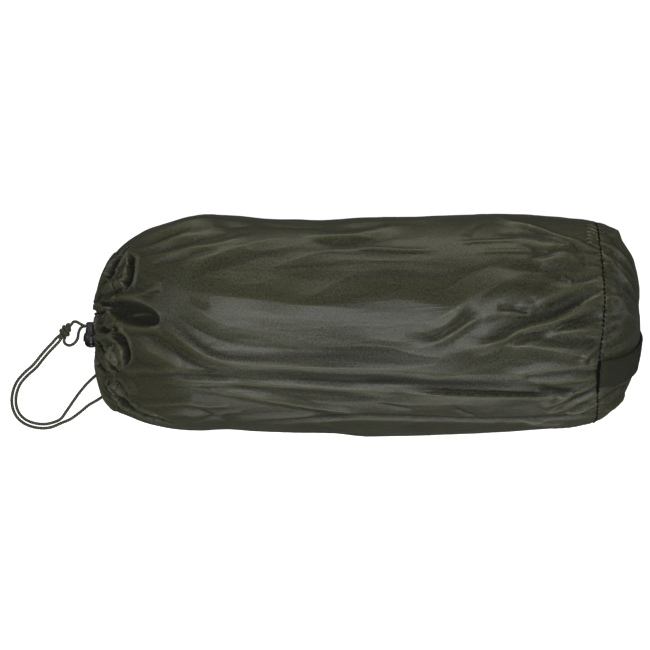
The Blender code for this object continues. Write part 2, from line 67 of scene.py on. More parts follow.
Section = namedtuple("Section", "x plus_y minus_y top under")
SECTIONS = (
    Section(-227.0, 6.5, -2.0, 37.0, 28.0),
    Section(-231.5, 9.5, -5.5, 41.0, 24.0),
    Section(-235.2, 11.5, -7.5, 43.5, 21.0),
    Section(-237.4, 17.0, -17.0, 49.0, 18.0),
    Section(-236.2, 25.0, -38.0, 58.0, 13.0),
    Section(-231.6, 41.0, -60.0, 75.0, 6.0),
    Section(-225.5, 55.0, -71.0, 92.0, 1.5),
    Section(-216.0, 66.5, -77.0, 107.0, -1.0),
    Section(-204.0, 76.5, -82.5, 123.0, -3.5),
    Section(-188.0, 84.5, -87.5, 141.0, -6.0),
    Section(-168.0, 91.5, -91.0, 156.0, -8.5),
    Section(-146.0, 95.5, -92.0, 164.0, -10.0),
    Section(-118.0, 94.0, -91.5, 167.0, -11.0),
    Section(-62.0, 92.0, -93.5, 167.0, -11.0),
    Section(26.0, 94.5, -96.5, 168.0, -11.5),
    Section(114.0, 95.5, -94.0, 167.0, -11.0),
    Section(172.0, 93.5, -90.5, 164.0, -9.0),
    Section(SEAM_X, 89.0, -85.0, 159.0, -6.0),
)
SEAM_OVAL = SECTIONS[-1]
SEAM_MIDDLE_Y = (SEAM_OVAL.plus_y + SEAM_OVAL.minus_y) / 2
SEAM_MIDDLE_Z = (SEAM_OVAL.top + SEAM_OVAL.under) / 2
SEAM_HALF_WIDTH = (SEAM_OVAL.plus_y - SEAM_OVAL.minus_y) / 2
SEAM_HALF_HEIGHT = (SEAM_OVAL.top - SEAM_OVAL.under) / 2
RIM_SECTION = 4
NET_NOTCH = 3.6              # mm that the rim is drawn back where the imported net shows
HEM_SECTION = 6.7            # where the cord channel's stitching runs round the mouth

Pleat = namedtuple("Pleat", "angle width depth reach")
PLEATS = (
    Pleat(18, 9, 4.2, 4.5),
    Pleat(39, 8, 4.8, 5.2),
    Pleat(127, 8, 4.0, 3.2),
    Pleat(146, 9, 4.4, 4.0),
    Pleat(166, 8, 4.0, 5.0),
    Pleat(188, 10, 4.8, 6.0),
    Pleat(211, 8, 3.6, 4.4),
    Pleat(234, 9, 4.2, 4.0),
    Pleat(259, 10, 3.4, 3.2),
    Pleat(287, 9, 4.0, 3.6),
    Pleat(312, 8, 4.4, 5.0),
    Pleat(334, 9, 4.8, 5.6),
    Pleat(357, 8, 4.2, 4.8),
)

Lump = namedtuple("Lump", "x angle height spread")
LUMPS = (
    Lump(-120, 74, 2.2, 40),
    Lump(-40, 96, -2.0, 40),
    Lump(30, 64, 2.2, 44),
    Lump(110, 84, 2.2, 40),
    Lump(60, 124, 2.0, 34),
    Lump(-95, 136, 2.0, 36),
    Lump(150, 44, 2.0, 32),
    Lump(-20, 32, -2.0, 38),
    Lump(90, 322, 2.4, 42),
    Lump(-110, 326, 2.2, 38),
    Lump(10, 216, 2.4, 40),
    Lump(130, 214, -2.0, 36),
)

# ---- creases of the cloth ------------------------------------------------------------------------
# A crease follows its route over the cloth, given as seen from one side: x y from the top,
# x z from a side, y z from the end. Walking along the route, "over" has the left side
# lying over the right, "under" the right side over the left.
Crease = namedtuple("Crease", "view kind depth width route")


def creases(view, rows):
    """Creases seen from one side: kind, depth, width and then the points of the route."""
    return tuple(Crease(view, kind, depth, width, route) for kind, depth, width, *route in rows)


MOUTH_CREASES = creases("top", (
    # upper shoulder: the channel's dark strip and the ridges that fan out of it
    ("slot", 11.0, 3.6, (-207, 69.5), (-213, 62.5), (-219.5, 53.5), (-225.5, 43), (-229.5, 32)),
    ("ridge", 1.6, 1.2, (-211, 66), (-219, 57), (-226, 46), (-231, 36), (-234, 26)),
    ("ridge", 2.6, 3.4, (-208, 68), (-190, 76), (-170, 84), (-150, 89), (-130, 91)),
    ("valley", 2.0, 2.4, (-208, 65), (-190, 71), (-172, 78), (-154, 84)),
    ("ridge", 1.8, 2.4, (-211, 61), (-195, 66), (-178, 71), (-162, 77), (-148, 81)),
    ("valley", 2.6, 3.2, (-206, 59), (-188, 62), (-170, 67), (-150, 73), (-130, 79), (-110, 84)),
    ("ridge", 2.2, 2.2, (-212, 57), (-190, 59), (-160, 63.5), (-130, 68), (-110, 74), (-90, 80)),
    ("valley", 1.6, 3.0, (-196, 53), (-172, 55), (-148, 60), (-128, 63)),
    # slot beside the leaf-shaped lobe, and the lens-shaped facet right of it
    ("slot", 14.0, 4.6, (-210, 62), (-207, 53), (-207, 45), (-209, 38), (-213, 29)),
    ("slot", 5.0, 1.6, (-212, 52), (-207, 51), (-202, 49)),
    ("ridge", 1.5, 1.8, (-203, 44), (-194, 40.5), (-185, 38), (-176, 33)),
    ("ridge", 2.4, 1.8, (-233, 23), (-218, 22.5), (-203, 24.5), (-190, 28), (-175, 33)),
    # the big pocket's rims and its inner ridge
    ("ridge", 2.2, 2.0, (-226, 22), (-210, 21.5), (-197, 17), (-187, 10), (-179, 1)),
    ("ridge", 3.0, 2.2, (-223, 7), (-208, 9), (-195, 5.5), (-184, 1)),
    ("ridge", 2.0, 2.0, (-218, -1), (-204, -3.5), (-191, -4.5), (-180, -1)),
    # crumples of the gathered channel
    ("slot", 4.6, 1.5, (-233, 19), (-228, 17.5), (-222, 19)),
    ("ridge", 2.4, 1.5, (-238, 20), (-232, 15), (-226, 14)),
    ("slot", 3.4, 1.2, (-238, 12), (-233, 10), (-229, 11)),
    ("ridge", 2.4, 1.4, (-237, 7), (-231, 7), (-225, 4)),
    ("ridge", 2.2, 1.4, (-233, -0.5), (-226, -0.5), (-219, 0.5), (-214, -4), (-217, -9)),
    ("slot", 7.0, 2.2, (-234, -4.5), (-229, -5), (-224, -5.5)),
    ("slot", 6.0, 1.8, (-222, -3), (-218.5, -5), (-217.5, -7.5)),
    ("ridge", 3.0, 1.8, (-238, -9), (-232, -10.5), (-226, -11), (-219, -10)),
    # crescent and the lobe inside it
    ("slot", 10.0, 4.0, (-224, -9), (-214.5, -13), (-210, -20), (-209.5, -27), (-212, -37)),
    ("ridge", 3.0, 2.8, (-226, -18), (-218, -21), (-215, -28), (-218, -36)),
    ("ridge", 1.8, 1.8, (-219, -37), (-208, -40.5), (-194, -39.5), (-178, -40.5), (-160, -40)),
    # strips of the channel on the lower shoulder
    ("slot", 9.0, 3.4, (-236, -12), (-230, -21), (-223, -32), (-216, -43)),
    ("ridge", 2.4, 1.3, (-233, -11), (-226, -21), (-220, -31), (-213, -42)),
    ("ridge", 2.0, 1.3, (-238, -18), (-232, -28), (-226, -37), (-219, -46)),
    ("slot", 9.0, 3.2, (-238, -25), (-234, -34), (-228, -43)),
    ("slot", 13.0, 4.4, (-228, -44), (-223, -57), (-215, -66.5), (-202, -75), (-186, -81), (-166, -86)),
    ("ridge", 2.0, 1.8, (-226, -45), (-220, -57), (-211, -66), (-197, -74), (-178, -81)),
    ("ridge", 1.8, 1.5, (-221, -45), (-214, -49), (-208, -56), (-205, -62)),
    ("valley", 2.8, 2.2, (-222, -48), (-216, -54), (-208, -61)),
    ("valley", 2.6, 1.8, (-216, -62), (-208, -67), (-198, -70)),
))
BODY_CREASES = creases("top", (
    # ridges along the upper edge
    ("ridge", 2.9, 5.0, (-172, 54), (-142, 57), (-118, 64), (-95, 71), (-60, 77)),
    ("valley", 2.5, 4.4, (-138, 85), (-104, 87), (-66, 86), (-24, 87)),
    ("ridge", 2.9, 3.6, (-64, 80), (-44, 76.5), (-20, 76.5), (0, 80), (22, 84), (48, 87)),
    ("valley", 2.0, 3.0, (-58, 75), (-40, 72), (-18, 71.5), (6, 74), (30, 76)),
    ("ridge", 1.3, 1.2, (-12, 68), (10, 66), (36, 64), (62, 65)),
    ("ridge", 1.2, 1.0, (78, 71.5), (104, 72), (134, 72)),
    ("ridge", 1.0, 1.0, (94, 62.5), (118, 63), (142, 62)),
    ("valley", 1.8, 12.0, (-140, 42), (-70, 50), (0, 54), (60, 50), (120, 46)),
    # the sharp ridge that crosses the seam, and the folds at its foot
    ("ridge", 3.2, 1.7, (106, 95), (122, 88), (140, 84), (155, 78.5), (170, 73), (185, 68), (203, 61)),
    ("valley", 1.0, 2.2, (104, 90), (95, 86), (88, 81), (84, 76)),
    ("valley", 1.8, 3.2, (106, 79), (128, 79), (146, 75.5), (162, 70)),
    ("valley", 1.8, 2.2, (136, 55), (152, 59), (170, 62.5), (190, 62)),
    ("ridge", 1.7, 3.0, (146, 51), (166, 56), (188, 54)),
    ("valley", 2.1, 4.0, (104, 49), (134, 46), (160, 47), (182, 50)),
    ("valley", 2.2, 2.4, (206, 46), (196, 41.5), (184, 38), (168, 38.5), (148, 42)),
    # soft sheen area left of the middle
    ("ridge", 2.7, 8.0, (-178, 30), (-142, 25), (-102, 21), (-62, 17), (-20, 14), (30, 10)),
    ("valley", 0.9, 1.6, (-156, 22), (-146, 17), (-136, 14)),
    ("valley", 1.6, 5.0, (-188, 15), (-168, 8), (-150, -3), (-132, -12), (-110, -18), (-80, -21),
     (-40, -23), (0, -25), (50, -27)),
    ("ridge", 2.6, 1.8, (-182, 0), (-168, -9), (-155, -18), (-142, -26), (-128, -31), (-108, -34.5),
     (-60, -37), (0, -38.5), (54, -40.5), (112, -43)),
    ("valley", 2.9, 3.2, (-206, -6), (-192, -11), (-176, -20), (-160, -30), (-146, -37), (-128, -41),
     (-100, -44)),
    # the long creases of the lower half
    ("valley", 2.0, 2.2, (-204, -43.5), (-168, -44), (-134, -46), (-96, -47)),
    ("ridge", 2.3, 1.6, (-194, -44), (-164, -47.5), (-130, -50), (-90, -52), (-50, -54), (0, -56.5),
     (32, -57.5)),
    ("valley", 2.6, 3.2, (-110, -46.5), (-60, -48), (-20, -50), (40, -50), (100, -52), (160, -56)),
    ("valley", 2.3, 3.0, (-156, -52), (-110, -54.5), (-60, -58.5), (-20, -61), (14, -61.5)),
    ("ridge", 2.0, 2.0, (-184, -48), (-155, -53), (-110, -60), (-80, -65), (-50, -70), (-20, -75),
     (8, -78)),
    ("ridge", 2.3, 5.6, (-70, -63), (-20, -64.5), (30, -66), (80, -67), (140, -69)),
    ("under", 3.2, 3.0, (24, -57), (60, -58), (90, -59.5), (120, -60.8), (150, -62), (182, -61.5)),
    ("valley", 2.6, 2.3, (-134, -89), (-92, -84.5), (-50, -81.5), (0, -79), (40, -80.5), (80, -82),
     (120, -82.5), (160, -81), (196, -78.5)),
    ("ridge", 1.7, 2.4, (-124, -83), (-80, -79.5), (-36, -77.5)),
    ("ridge", 1.6, 1.9, (-208, -70), (-186, -69), (-166, -68), (-146, -65.5)),
    ("ridge", 1.7, 2.4, (-182, -77), (-162, -77), (-142, -80)),
    ("valley", 1.3, 1.6, (-156, -71), (-146, -74.5), (-134, -80)),
    ("ridge", 1.2, 1.4, (-162, -67), (-148, -69.5), (-134, -71), (-118, -70)),
    ("ridge", 1.1, 1.2, (-134, -80), (-122, -76), (-108, -75)),
    ("valley", 1.1, 1.4, (-150, -85), (-138, -81), (-122, -81.5)),
    ("valley", 0.9, 1.3, (6, -66.5), (24, -69), (42, -73)),
    ("valley", 0.9, 1.4, (72, -69.5), (84, -75), (98, -79.5)),
    ("ridge", 2.2, 2.0, (134, -84.5), (155, -87), (176, -86)),
    # diagonals that run into the seam
    ("ridge", 3.2, 6.0, (46, -2), (66, 8), (80, 17), (96, 27), (112, 34), (132, 38), (152, 35)),
    ("valley", 2.2, 2.2, (24, -18), (48, -13), (64, -8), (76, 0), (86, 8), (96, 15)),
    ("ridge", 1.7, 2.2, (56, -16), (74, -7), (86, 1), (99, 7)),
    ("valley", 1.4, 1.6, (110, 14.5), (126, 13), (140, 10)),
    ("ridge", 1.3, 1.2, (116, 11), (130, 9), (144, 7.5)),
    ("ridge", 1.2, 1.0, (166, 41), (172, 38.5), (177, 36)),
    ("ridge", 2.0, 3.0, (188, 34), (170, 30), (155, 25), (143, 17)),
    ("valley", 2.9, 4.2, (198, 26), (175, 17), (155, 9), (135, 3), (118, -5), (102, -11)),
    ("ridge", 2.6, 2.4, (206, 23), (190, 17), (175, 8.5), (160, 2), (145, -1.5), (130, -6), (118, -12.5),
     (104, -16.5), (88, -20), (70, -23)),
    ("ridge", 1.6, 1.2, (206, 28), (194, 22.5), (182, 16.5)),
    ("valley", 2.2, 2.4, (203, 9), (184, 3.5), (170, 0), (158, -4), (140, -9), (124, -15), (106, -20)),
    ("ridge", 1.6, 2.4, (202, -5), (182, -5), (162, -7)),
    ("valley", 1.8, 2.4, (200, -15), (178, -15), (160, -13), (140, -11)),
    ("ridge", 2.1, 3.4, (68, -26), (95, -21.5), (125, -18), (150, -20.5), (175, -25), (194, -28)),
    ("ridge", 1.8, 1.6, (206, -12), (196, -20), (188, -28), (179, -36)),
    ("valley", 1.8, 1.7, (206, -19), (196, -26), (187, -34)),
    ("ridge", 2.1, 2.0, (104, -43), (130, -42), (150, -38.5), (175, -36), (203, -33)),
    ("ridge", 2.2, 1.6, (124, -45.5), (145, -48), (165, -48), (194, -45)),
    ("valley", 2.8, 2.2, (146, -54.5), (165, -57), (184, -61.5)),
    ("ridge", 2.8, 1.7, (203, -48), (184, -57), (168, -65), (148, -73)),
    ("valley", 2.5, 1.5, (203, -53), (185, -62), (166, -71)),
    ("ridge", 2.4, 1.4, (202, -58), (184, -66), (168, -73), (150, -78)),
    ("valley", 2.4, 1.4, (202, -63), (186, -70), (170, -77)),
    ("ridge", 2.2, 1.4, (202, -68), (186, -75), (172, -80)),
))
SEAM_PUCKERS = tuple(
    Crease("top", "ridge", 2.2, 0.8, ((190, y + 3.0), (196, y + 0.8), (202, y - 1.8)))
    for y in (88, 84.6, 81.4, 78, 74.8, 71.4, 68.2)
)
# Painted shade where the cloth is darker and duller (depth above 0), and painted highlights where it is lighter
# (below 0) than round it.
BODY_PAINTED_LIGHT = creases("top", (
    ("painted_light", 0.55, 7.0, (-186, 16), (-170, 5), (-152, -13), (-132, -26), (-108, -28), (-70, -28),
     (-20, -28), (40, -31), (100, -33)),
    ("painted_light", 0.55, 6.5, (-172, -43), (-120, -43), (-60, -44), (0, -46), (60, -49), (120, -52),
     (170, -56)),
    ("painted_light", 0.45, 6.0, (-40, 40), (10, 44), (60, 42), (110, 52), (150, 56)),
    ("painted_light", 0.35, 5.0, (-150, 50), (-110, 56), (-70, 66), (-20, 64), (40, 56)),
    ("painted_light", -0.5, 1.1, (-146, -24), (-128, -31), (-108, -34.5), (-60, -37), (0, -38.5), (54, -40.5),
     (104, -43), (150, -38.5), (175, -36), (203, -33)),
    ("painted_light", -0.5, 1.1, (-180, -45.5), (-130, -50), (-90, -52), (-50, -54), (0, -56.5), (40, -58)),
    ("painted_light", -0.5, 1.2, (106, 95), (122, 88), (140, 84), (155, 78.5), (170, 73), (185, 68), (203, 61)),
    ("painted_light", -0.5, 2.4, (-218, 12), (-206, 8), (-192, 2)),
))
# Painted highlights along the bottom panel's sharp ridges, and a band of painted shade beside them.
PANEL_PAINTED_LIGHT = creases("top", (
    ("painted_light", -0.5, 1.2, (200, 62), (206, 58.6), (215.7, 48.4), (226.2, 34.5), (235.2, 21.9)),
    ("painted_light", -0.4, 1.2, (200.8, 71), (208, 67.5), (215.7, 63.3), (226.2, 51.9), (235.8, 40.6)),
    ("painted_light", 0.5, 6.0, (206, 44), (214, 40), (222, 28), (226, 10)),
))
SIDE_CREASES = creases("plus_y", (
    ("valley", 2.5, 4.0, (-190, 70), (-165, 83), (-140, 91), (-105, 96), (-70, 98)),
    ("over", 2.5, 4.0, (-150, 40), (-105, 48), (-60, 52), (0, 48), (60, 40)),
    ("under", 2.2, 3.6, (40, 100), (75, 93), (110, 88), (150, 90), (190, 96)),
    ("ridge", 2.2, 3.0, (90, 30), (115, 39), (140, 46), (166, 45), (198, 38)),
    ("ridge", 1.7, 3.0, (-196, 34), (-172, 44), (-150, 62), (-120, 70), (-90, 68)),
    ("valley", 1.8, 3.4, (-60, 80), (-20, 74), (20, 76), (60, 70)),
    ("ridge", 1.4, 2.6, (120, 66), (150, 62), (176, 66), (200, 74)),
    ("over", 1.5, 3.0, (-90, 24), (-40, 20), (10, 24), (70, 18)),
    ("ridge", 1.2, 2.6, (-40, 112), (-5, 106), (35, 108), (70, 104)),
    ("ridge", 1.0, 2.6, (60, 56), (92, 60), (126, 56), (160, 50)),
    ("ridge", 1.0, 2.6, (-205, 60), (-182, 58), (-150, 50), (-118, 40)),
)) + creases("minus_y", (
    ("valley", 2.5, 4.0, (-180, 46), (-145, 55), (-110, 58), (-75, 56), (-40, 52)),
    ("over", 2.5, 4.0, (-60, 28), (-15, 37), (30, 40), (80, 37), (130, 30)),
    ("under", 2.2, 3.6, (70, 70), (100, 64), (130, 62), (160, 67), (192, 76)),
    ("ridge", 1.8, 3.0, (-200, 30), (-176, 36), (-140, 30), (-100, 34)),
    ("ridge", 1.7, 3.0, (-30, 74), (10, 66), (50, 58), (90, 52)),
    ("valley", 1.7, 2.6, (130, 48), (156, 44), (178, 40), (198, 44)),
    ("over", 1.5, 3.0, (-150, 18), (-100, 14), (-50, 18), (0, 14)),
    ("ridge", 1.1, 2.6, (-130, 84), (-90, 80), (-50, 86), (-10, 90)),
    ("ridge", 1.0, 2.6, (110, 22), (146, 30), (176, 28), (200, 34)),
    ("ridge", 1.1, 2.6, (-206, 50), (-180, 64), (-150, 72), (-120, 70)),
))
PANEL_CREASES = creases("top", (
    ("valley", 2.6, 3.2, (203, 83), (212, 76), (222, 63), (231, 50), (236, 42)),
    ("ridge", 2.6, 1.7, (200.8, 71), (208, 67.5), (215.7, 63.3), (226.2, 51.9), (235.8, 40.6)),
    ("valley", 1.6, 1.5, (206, 64), (216, 58), (226, 48), (234, 38)),
    ("ridge", 3.4, 1.6, (200, 62), (206, 58.6), (215.7, 48.4), (226.2, 34.5), (235.2, 21.9)),
    ("valley", 2.9, 2.6, (209, 57), (216.6, 49.3), (223, 42), (229.7, 34.5), (235, 27)),
    ("valley", 2.2, 3.6, (205, 38.5), (211, 37), (216.5, 33), (219.2, 27.5), (218.8, 20.5)),
    ("valley", 1.3, 2.0, (201, 13.4), (210.4, 17), (219, 19.5)),
    ("valley", 2.2, 2.0, (199, -12), (208, -7.5), (218, -2.6)),
    ("ridge", 1.2, 2.2, (206, -28), (215.7, -24), (225, -16), (233.1, -7.4)),
    ("valley", 3.4, 2.2, (202, -66), (210, -62), (218, -56), (226, -48)),
    ("ridge", 3.1, 3.2, (201, -77), (210, -73), (218, -67), (225, -59)),
)) + creases("end", (
    ("ridge", 2.6, 2.6, (80, 40), (81, 66), (80, 92), (76, 116)),
    ("valley", 3.6, 3.4, (66, 104), (48, 92), (28, 86), (8, 88)),
    ("ridge", 2.6, 2.8, (70, 92), (52, 80), (34, 74), (16, 74)),
    ("valley", 3.2, 3.4, (74, 60), (54, 56), (36, 60), (20, 66)),
    ("ridge", 2.6, 2.8, (62, 26), (46, 36), (30, 44), (18, 54)),
    ("valley", 3.0, 3.2, (30, 14), (24, 28), (20, 42)),
    ("ridge", 2.4, 3.0, (-62, 40), (-50, 50), (-40, 62)),
    ("valley", 3.0, 3.2, (-76, 70), (-62, 72), (-50, 80)),
    ("ridge", 2.2, 2.4, (10, 150), (6, 130), (2, 112)),
    ("valley", 2.6, 2.6, (34, 144), (26, 126), (18, 110)),
))

# Pockets (depth below 0) and lobes of the cloth round the mouth, ovals seen from the top:
# turn is the long half's angle from +X.
Dent = namedtuple("Dent", "x y turn long wide depth power")
DENTS = (
    Dent(-204, 9.5, -14, 24, 10.5, -15.0, 0.55),
    Dent(-196, 4, -14, 17, 4.5, -3.0, 1.0),
    Dent(-221, 33, 27, 13, 4.6, 5.0, 0.7),
    Dent(-190, 33.5, -8, 14, 6, 1.8, 1.2),
    Dent(-220, -27, -72, 9, 3.2, 6.0, 0.8),
    Dent(-236, 12, 80, 7, 4, 2.8, 1.0),
    Dent(-234, -12, 60, 7, 4, 2.2, 1.2),
    Dent(-186, -24, -28, 28, 13, 3.2, 1.2),
    Dent(-206, -54, -50, 10, 5, 2.0, 1.2),
    Dent(154, 68, -14, 30, 8, 2.4, 1.2),
    Dent(112, 18, 36, 26, 12, 1.8, 1.4),
    Dent(168, -48, 3, 36, 9, 2.4, 1.1),
    Dent(-20, 40, 0, 70, 18, -1.6, 1.5),
)

# ---- how fine the cloth's grid is ----------------------------------------------------------------
MOUTH_ROWS = 190
TUBE_ROWS = 284
MOUTH_END = 10.25            # section where the finer piece of the mouth ends
COLUMNS = 340
PANEL_ROWS = 84
TOP_DENSITY = 0.78           # the grid is this much finer on top and coarser underneath
SEAM_PITCH = 4.1             # of the stitches
SEAM_GROOVE = 0.08
SEWN_X, SEWN_REACH = 200, 9  # a crease whose end lies this near the seam doesn't fade there
EDGE_SOFTNESS = 0.05         # rounding of a crease's edge, as a share of its width
SEAM_TWIST_START = 60.0      # from here on the fine creases run aslant into the seam
SEAM_TWIST = 0.00055         # turns round the sack per mm
# Fine creases: length, number round the sack, height and seed.
FINE_CREASES = ((150, 26, 0.50, 11), (90, 56, 0.16, 17), (48, 100, 0.06, 23), (28, 150, 0.03, 29))


# ---- curves, grids and noise ---------------------------------------------------------------------
def catmull_rom(rows, positions):
    """Values of a smooth curve through the rows at fractional row numbers."""
    rows = np.asarray(rows, float)
    last = len(rows) - 1
    start = np.clip(np.floor(positions).astype(int), 0, last - 1)
    t = (positions - start)[:, None]
    p0, p1, p2, p3 = (rows[np.clip(start + k, 0, last)] for k in (-1, 0, 1, 2))
    return 0.5 * (
        2 * p1 + (p2 - p0) * t + (2 * p0 - 5 * p1 + 4 * p2 - p3) * t**2
        + (3 * p1 - p0 - 3 * p2 + p3) * t**3
    )


def run_lengths(points):
    """Distance along a line of points, from 0 at its start."""
    return np.concatenate([[0], np.cumsum(np.linalg.norm(np.diff(points, axis=0), axis=1))])


def evenly_spaced(route, step):
    """Points about one step apart on a smooth curve through the route's points."""
    dense = catmull_rom(route, np.linspace(0, len(route) - 1, 24 * (len(route) - 1) + 1))
    run = run_lengths(dense)
    marks = np.linspace(0, run[-1], max(2, round(run[-1] / step)) + 1)
    return np.column_stack([np.interp(marks, run, dense[:, k]) for k in range(3)])


def smooth(share):
    share = np.clip(share, 0, 1)
    return share * share * (3 - 2 * share)


def grid_normals(points, closed):
    """Outward unit normals of a grid of points, columns running round a ring."""
    along = np.gradient(points, axis=0)
    if closed:
        around = (np.roll(points, -1, axis=1) - np.roll(points, 1, axis=1)) / 2
    else:
        around = np.gradient(points, axis=1)
    normals = np.cross(around, along)
    return normals / np.maximum(np.linalg.norm(normals, axis=2, keepdims=True), 1e-9)


def gradient_noise(u, v, period, seed):
    """Smooth noise of about -0.7 to 0.7, one lump to a unit, closed round v after a period."""
    rng = np.random.default_rng(seed)
    u = u - u.min()
    turns = rng.uniform(0, TURN, (int(u.max()) + 3, period))
    row, column = np.floor(u).astype(int), np.floor(v).astype(int)
    du, dv = u - row, v - column

    def corner(a, b):
        turn = turns[row + a, (column + b) % period]
        return np.cos(turn) * (du - a) + np.sin(turn) * (dv - b)

    su, sv = (d**3 * (d * (d * 6 - 15) + 10) for d in (du, dv))
    near = corner(0, 0) * (1 - su) + corner(1, 0) * su
    far = corner(0, 1) * (1 - su) + corner(1, 1) * su
    return near * (1 - sv) + far * sv


# ---- relief --------------------------------------------------------------------------------------
VIEWS = {
    "top": ((0, 1), (0, 0, 1)),
    "plus_y": ((0, 2), (0, 1, 0)),
    "minus_y": ((0, 2), (0, -1, 0)),
    "end": ((1, 2), (1, 0, 0)),
}


def crease_profile(kind, s):
    """Height across a crease at s widths to the left of its line, as a share of its depth.
    Flanks are nearly flat, as on thin cloth, and the edges between them are sharp."""
    away = np.sqrt(s**2 + EDGE_SOFTNESS**2) - EDGE_SOFTNESS
    if kind == "ridge":
        return np.clip(1 - away / 3.2, 0, 1) ** 1.2
    if kind == "valley":
        return -np.clip(1 - away / 2.8, 0, 1) ** 1.2
    if kind == "slot":
        return 0.12 * np.exp(-(((away - 1.7) / 0.6) ** 2)) - 0.5 + 0.5 * np.tanh((away - 1) / 0.2)
    # inside: painted shade over a slot, reaching a little past its walls
    if kind == "inside":
        return smooth((1.45 - away) / 0.4)
    # a band of painted shade or painted highlight
    if kind == "painted_light":
        return smooth(1 - away)
    s = -s if kind == "under" else s
    over = 0.5 + 0.5 * np.tanh(s / 0.2)
    lip = np.clip(1 - np.maximum(s, 0) / 4.4, 0, 1) ** 1.6
    hollow = np.clip(1 - np.maximum(-s, 0) / 3.4, 0, 1) ** 1.5
    return 0.7 * over * lip - 0.9 * (1 - over) * hollow


def crease_relief(crease, points, normals):
    """Relief of one crease over a grid: its line is laid on the cloth that faces its view.
    It melts away at its ends, except where it runs into the seam."""
    axes, facing = VIEWS[crease.view]
    seen = points[normals @ np.array(facing, float) > 0.05]
    legs = len(crease.route) - 1
    plan = catmull_rom(crease.route, np.linspace(0, legs, 7 * legs + 1))
    flat = seen[:, list(axes)]
    line = np.array([seen[np.argmin(((flat - p) ** 2).sum(axis=1))] for p in plan])
    line[:, list(axes)] = plan
    reach = 6 * crease.width
    near = ((points > line.min(axis=0) - reach) & (points < line.max(axis=0) + reach)).all(axis=2)
    relief = np.zeros(points.shape[:2])
    spots, normal = points[near], normals[near]
    if not len(spots):
        return relief
    starts, spans = line[:-1], np.diff(line, axis=0)
    offset = spots[:, None] - starts[None]
    share = (offset * spans).sum(axis=2) / np.maximum((spans**2).sum(axis=1), 1e-9)
    share = np.clip(share, 0, 1)
    offset -= share[:, :, None] * spans[None]
    gap = (offset**2).sum(axis=2)
    best = gap.argmin(axis=1)
    pick = np.arange(len(spots))
    left = np.cross(normal, spans[best])
    side = np.sign((offset[pick, best] * left).sum(axis=1))
    run = (best + share[pick, best]) / len(spans)
    ends = crease.route[0], crease.route[-1]
    sewn = [crease.view != "end" and abs(end[0] - SEWN_X) < SEWN_REACH for end in ends]
    fade = smooth(np.minimum(run + sewn[0], 1 - run + sewn[1]) / 0.28)
    pocket = crease.kind in ("slot", "inside")
    width = crease.width * (0.3 + 0.7 * fade if pocket else 1.7 - 0.7 * fade)
    signed = side * np.sqrt(gap[pick, best]) / width
    # an inside mark's painted shade comes to full strength soon after the slot's ends
    strength = np.minimum(3 * fade, 1) if crease.kind == "inside" else fade
    relief[near] = crease.depth * strength * crease_profile(crease.kind, signed)
    return relief


def dent_relief(points, normals):
    relief = np.zeros(points.shape[:2])
    up = smooth(normals[:, :, 2] / 0.25)
    for dent in DENTS:
        turn = math.radians(dent.turn)
        x, y = points[:, :, 0] - dent.x, points[:, :, 1] - dent.y
        along = (x * math.cos(turn) + y * math.sin(turn)) / dent.long
        across = (y * math.cos(turn) - x * math.sin(turn)) / dent.wide
        relief += dent.depth * np.clip(1 - along**2 - across**2, 0, 1) ** dent.power * up
    return relief


def pleat_relief(positions, angles):
    relief = np.zeros((len(positions), len(angles)))
    out = np.asarray(positions)[:, None] - RIM_SECTION
    for pleat in PLEATS:
        turn = (np.degrees(angles)[None, :] - pleat.angle + 180) % 360 - 180
        valley = np.clip(1 - np.abs(turn) / pleat.width, 0, 1) ** 1.2
        lips = np.exp(-((np.abs(turn) - 1.25 * pleat.width) / (0.6 * pleat.width)) ** 2)
        fade = np.clip(1 - out / pleat.reach, 0, 1) * np.clip((out + 1.4) / 1.4, 0, 1)
        relief += pleat.depth * fade * (0.3 * lips - valley)
    return relief


def gather_relief(positions, angles):
    """Small gathers of the cord channel, and the step down at its stitching."""
    positions = np.asarray(positions)[:, None]
    v = angles[None, :] / TURN
    wobble = 0.35 * np.sin(TURN * v * 5 + positions)
    gathers = np.cos(TURN * (v * 41 + wobble)) + 0.6 * np.cos(TURN * v * 67 + 2.1 * positions)
    fade = smooth((positions - 2.4) / 1.4) * smooth((HEM_SECTION + 1.3 - positions) / 2.2)
    channel = smooth((HEM_SECTION - positions) / 0.12) * smooth((positions - 3.2) / 0.8)
    stitched = -0.5 * np.exp(-(((positions - HEM_SECTION) / 0.10) ** 2))
    return 0.55 * fade * gathers + 0.55 * channel + stitched


def lump_relief(points, angles):
    relief = np.zeros(points.shape[:2])
    for lump in LUMPS:
        turn = (angles[None, :] - math.radians(lump.angle) + math.pi) % TURN - math.pi
        reach = ((points[:, :, 0] - lump.x) ** 2 + (turn * SACK_RADIUS) ** 2) / lump.spread**2
        relief += lump.height * np.exp(-reach)
    return relief


def loose_relief(points, angles):
    """Seeded slack of thin cloth: soft waves, then fine broken creases mostly along the sack."""
    x = points[:, :, 0]
    twist = SEAM_TWIST * np.maximum(x - SEAM_TWIST_START, 0)
    v = angles[None, :] / TURN + twist
    drift = gradient_noise(x / 90, v * 7, 7, 3)
    relief = 1.8 * gradient_noise(x / 80, v * 12 + drift, 12, 5)
    relief += 0.7 * gradient_noise(x / 44, v * 26 + 2 * drift, 26, 8)
    for cell, count, height, seed in FINE_CREASES:
        crest = gradient_noise(x / cell, v * count + 1.4 * drift, count, seed)
        where = smooth(0.5 + 1.9 * gradient_noise(x / 90, v * 9, 9, seed + 1))
        relief += height * where * (np.exp(-np.abs(crest) / 0.14) - 0.35)
    return relief


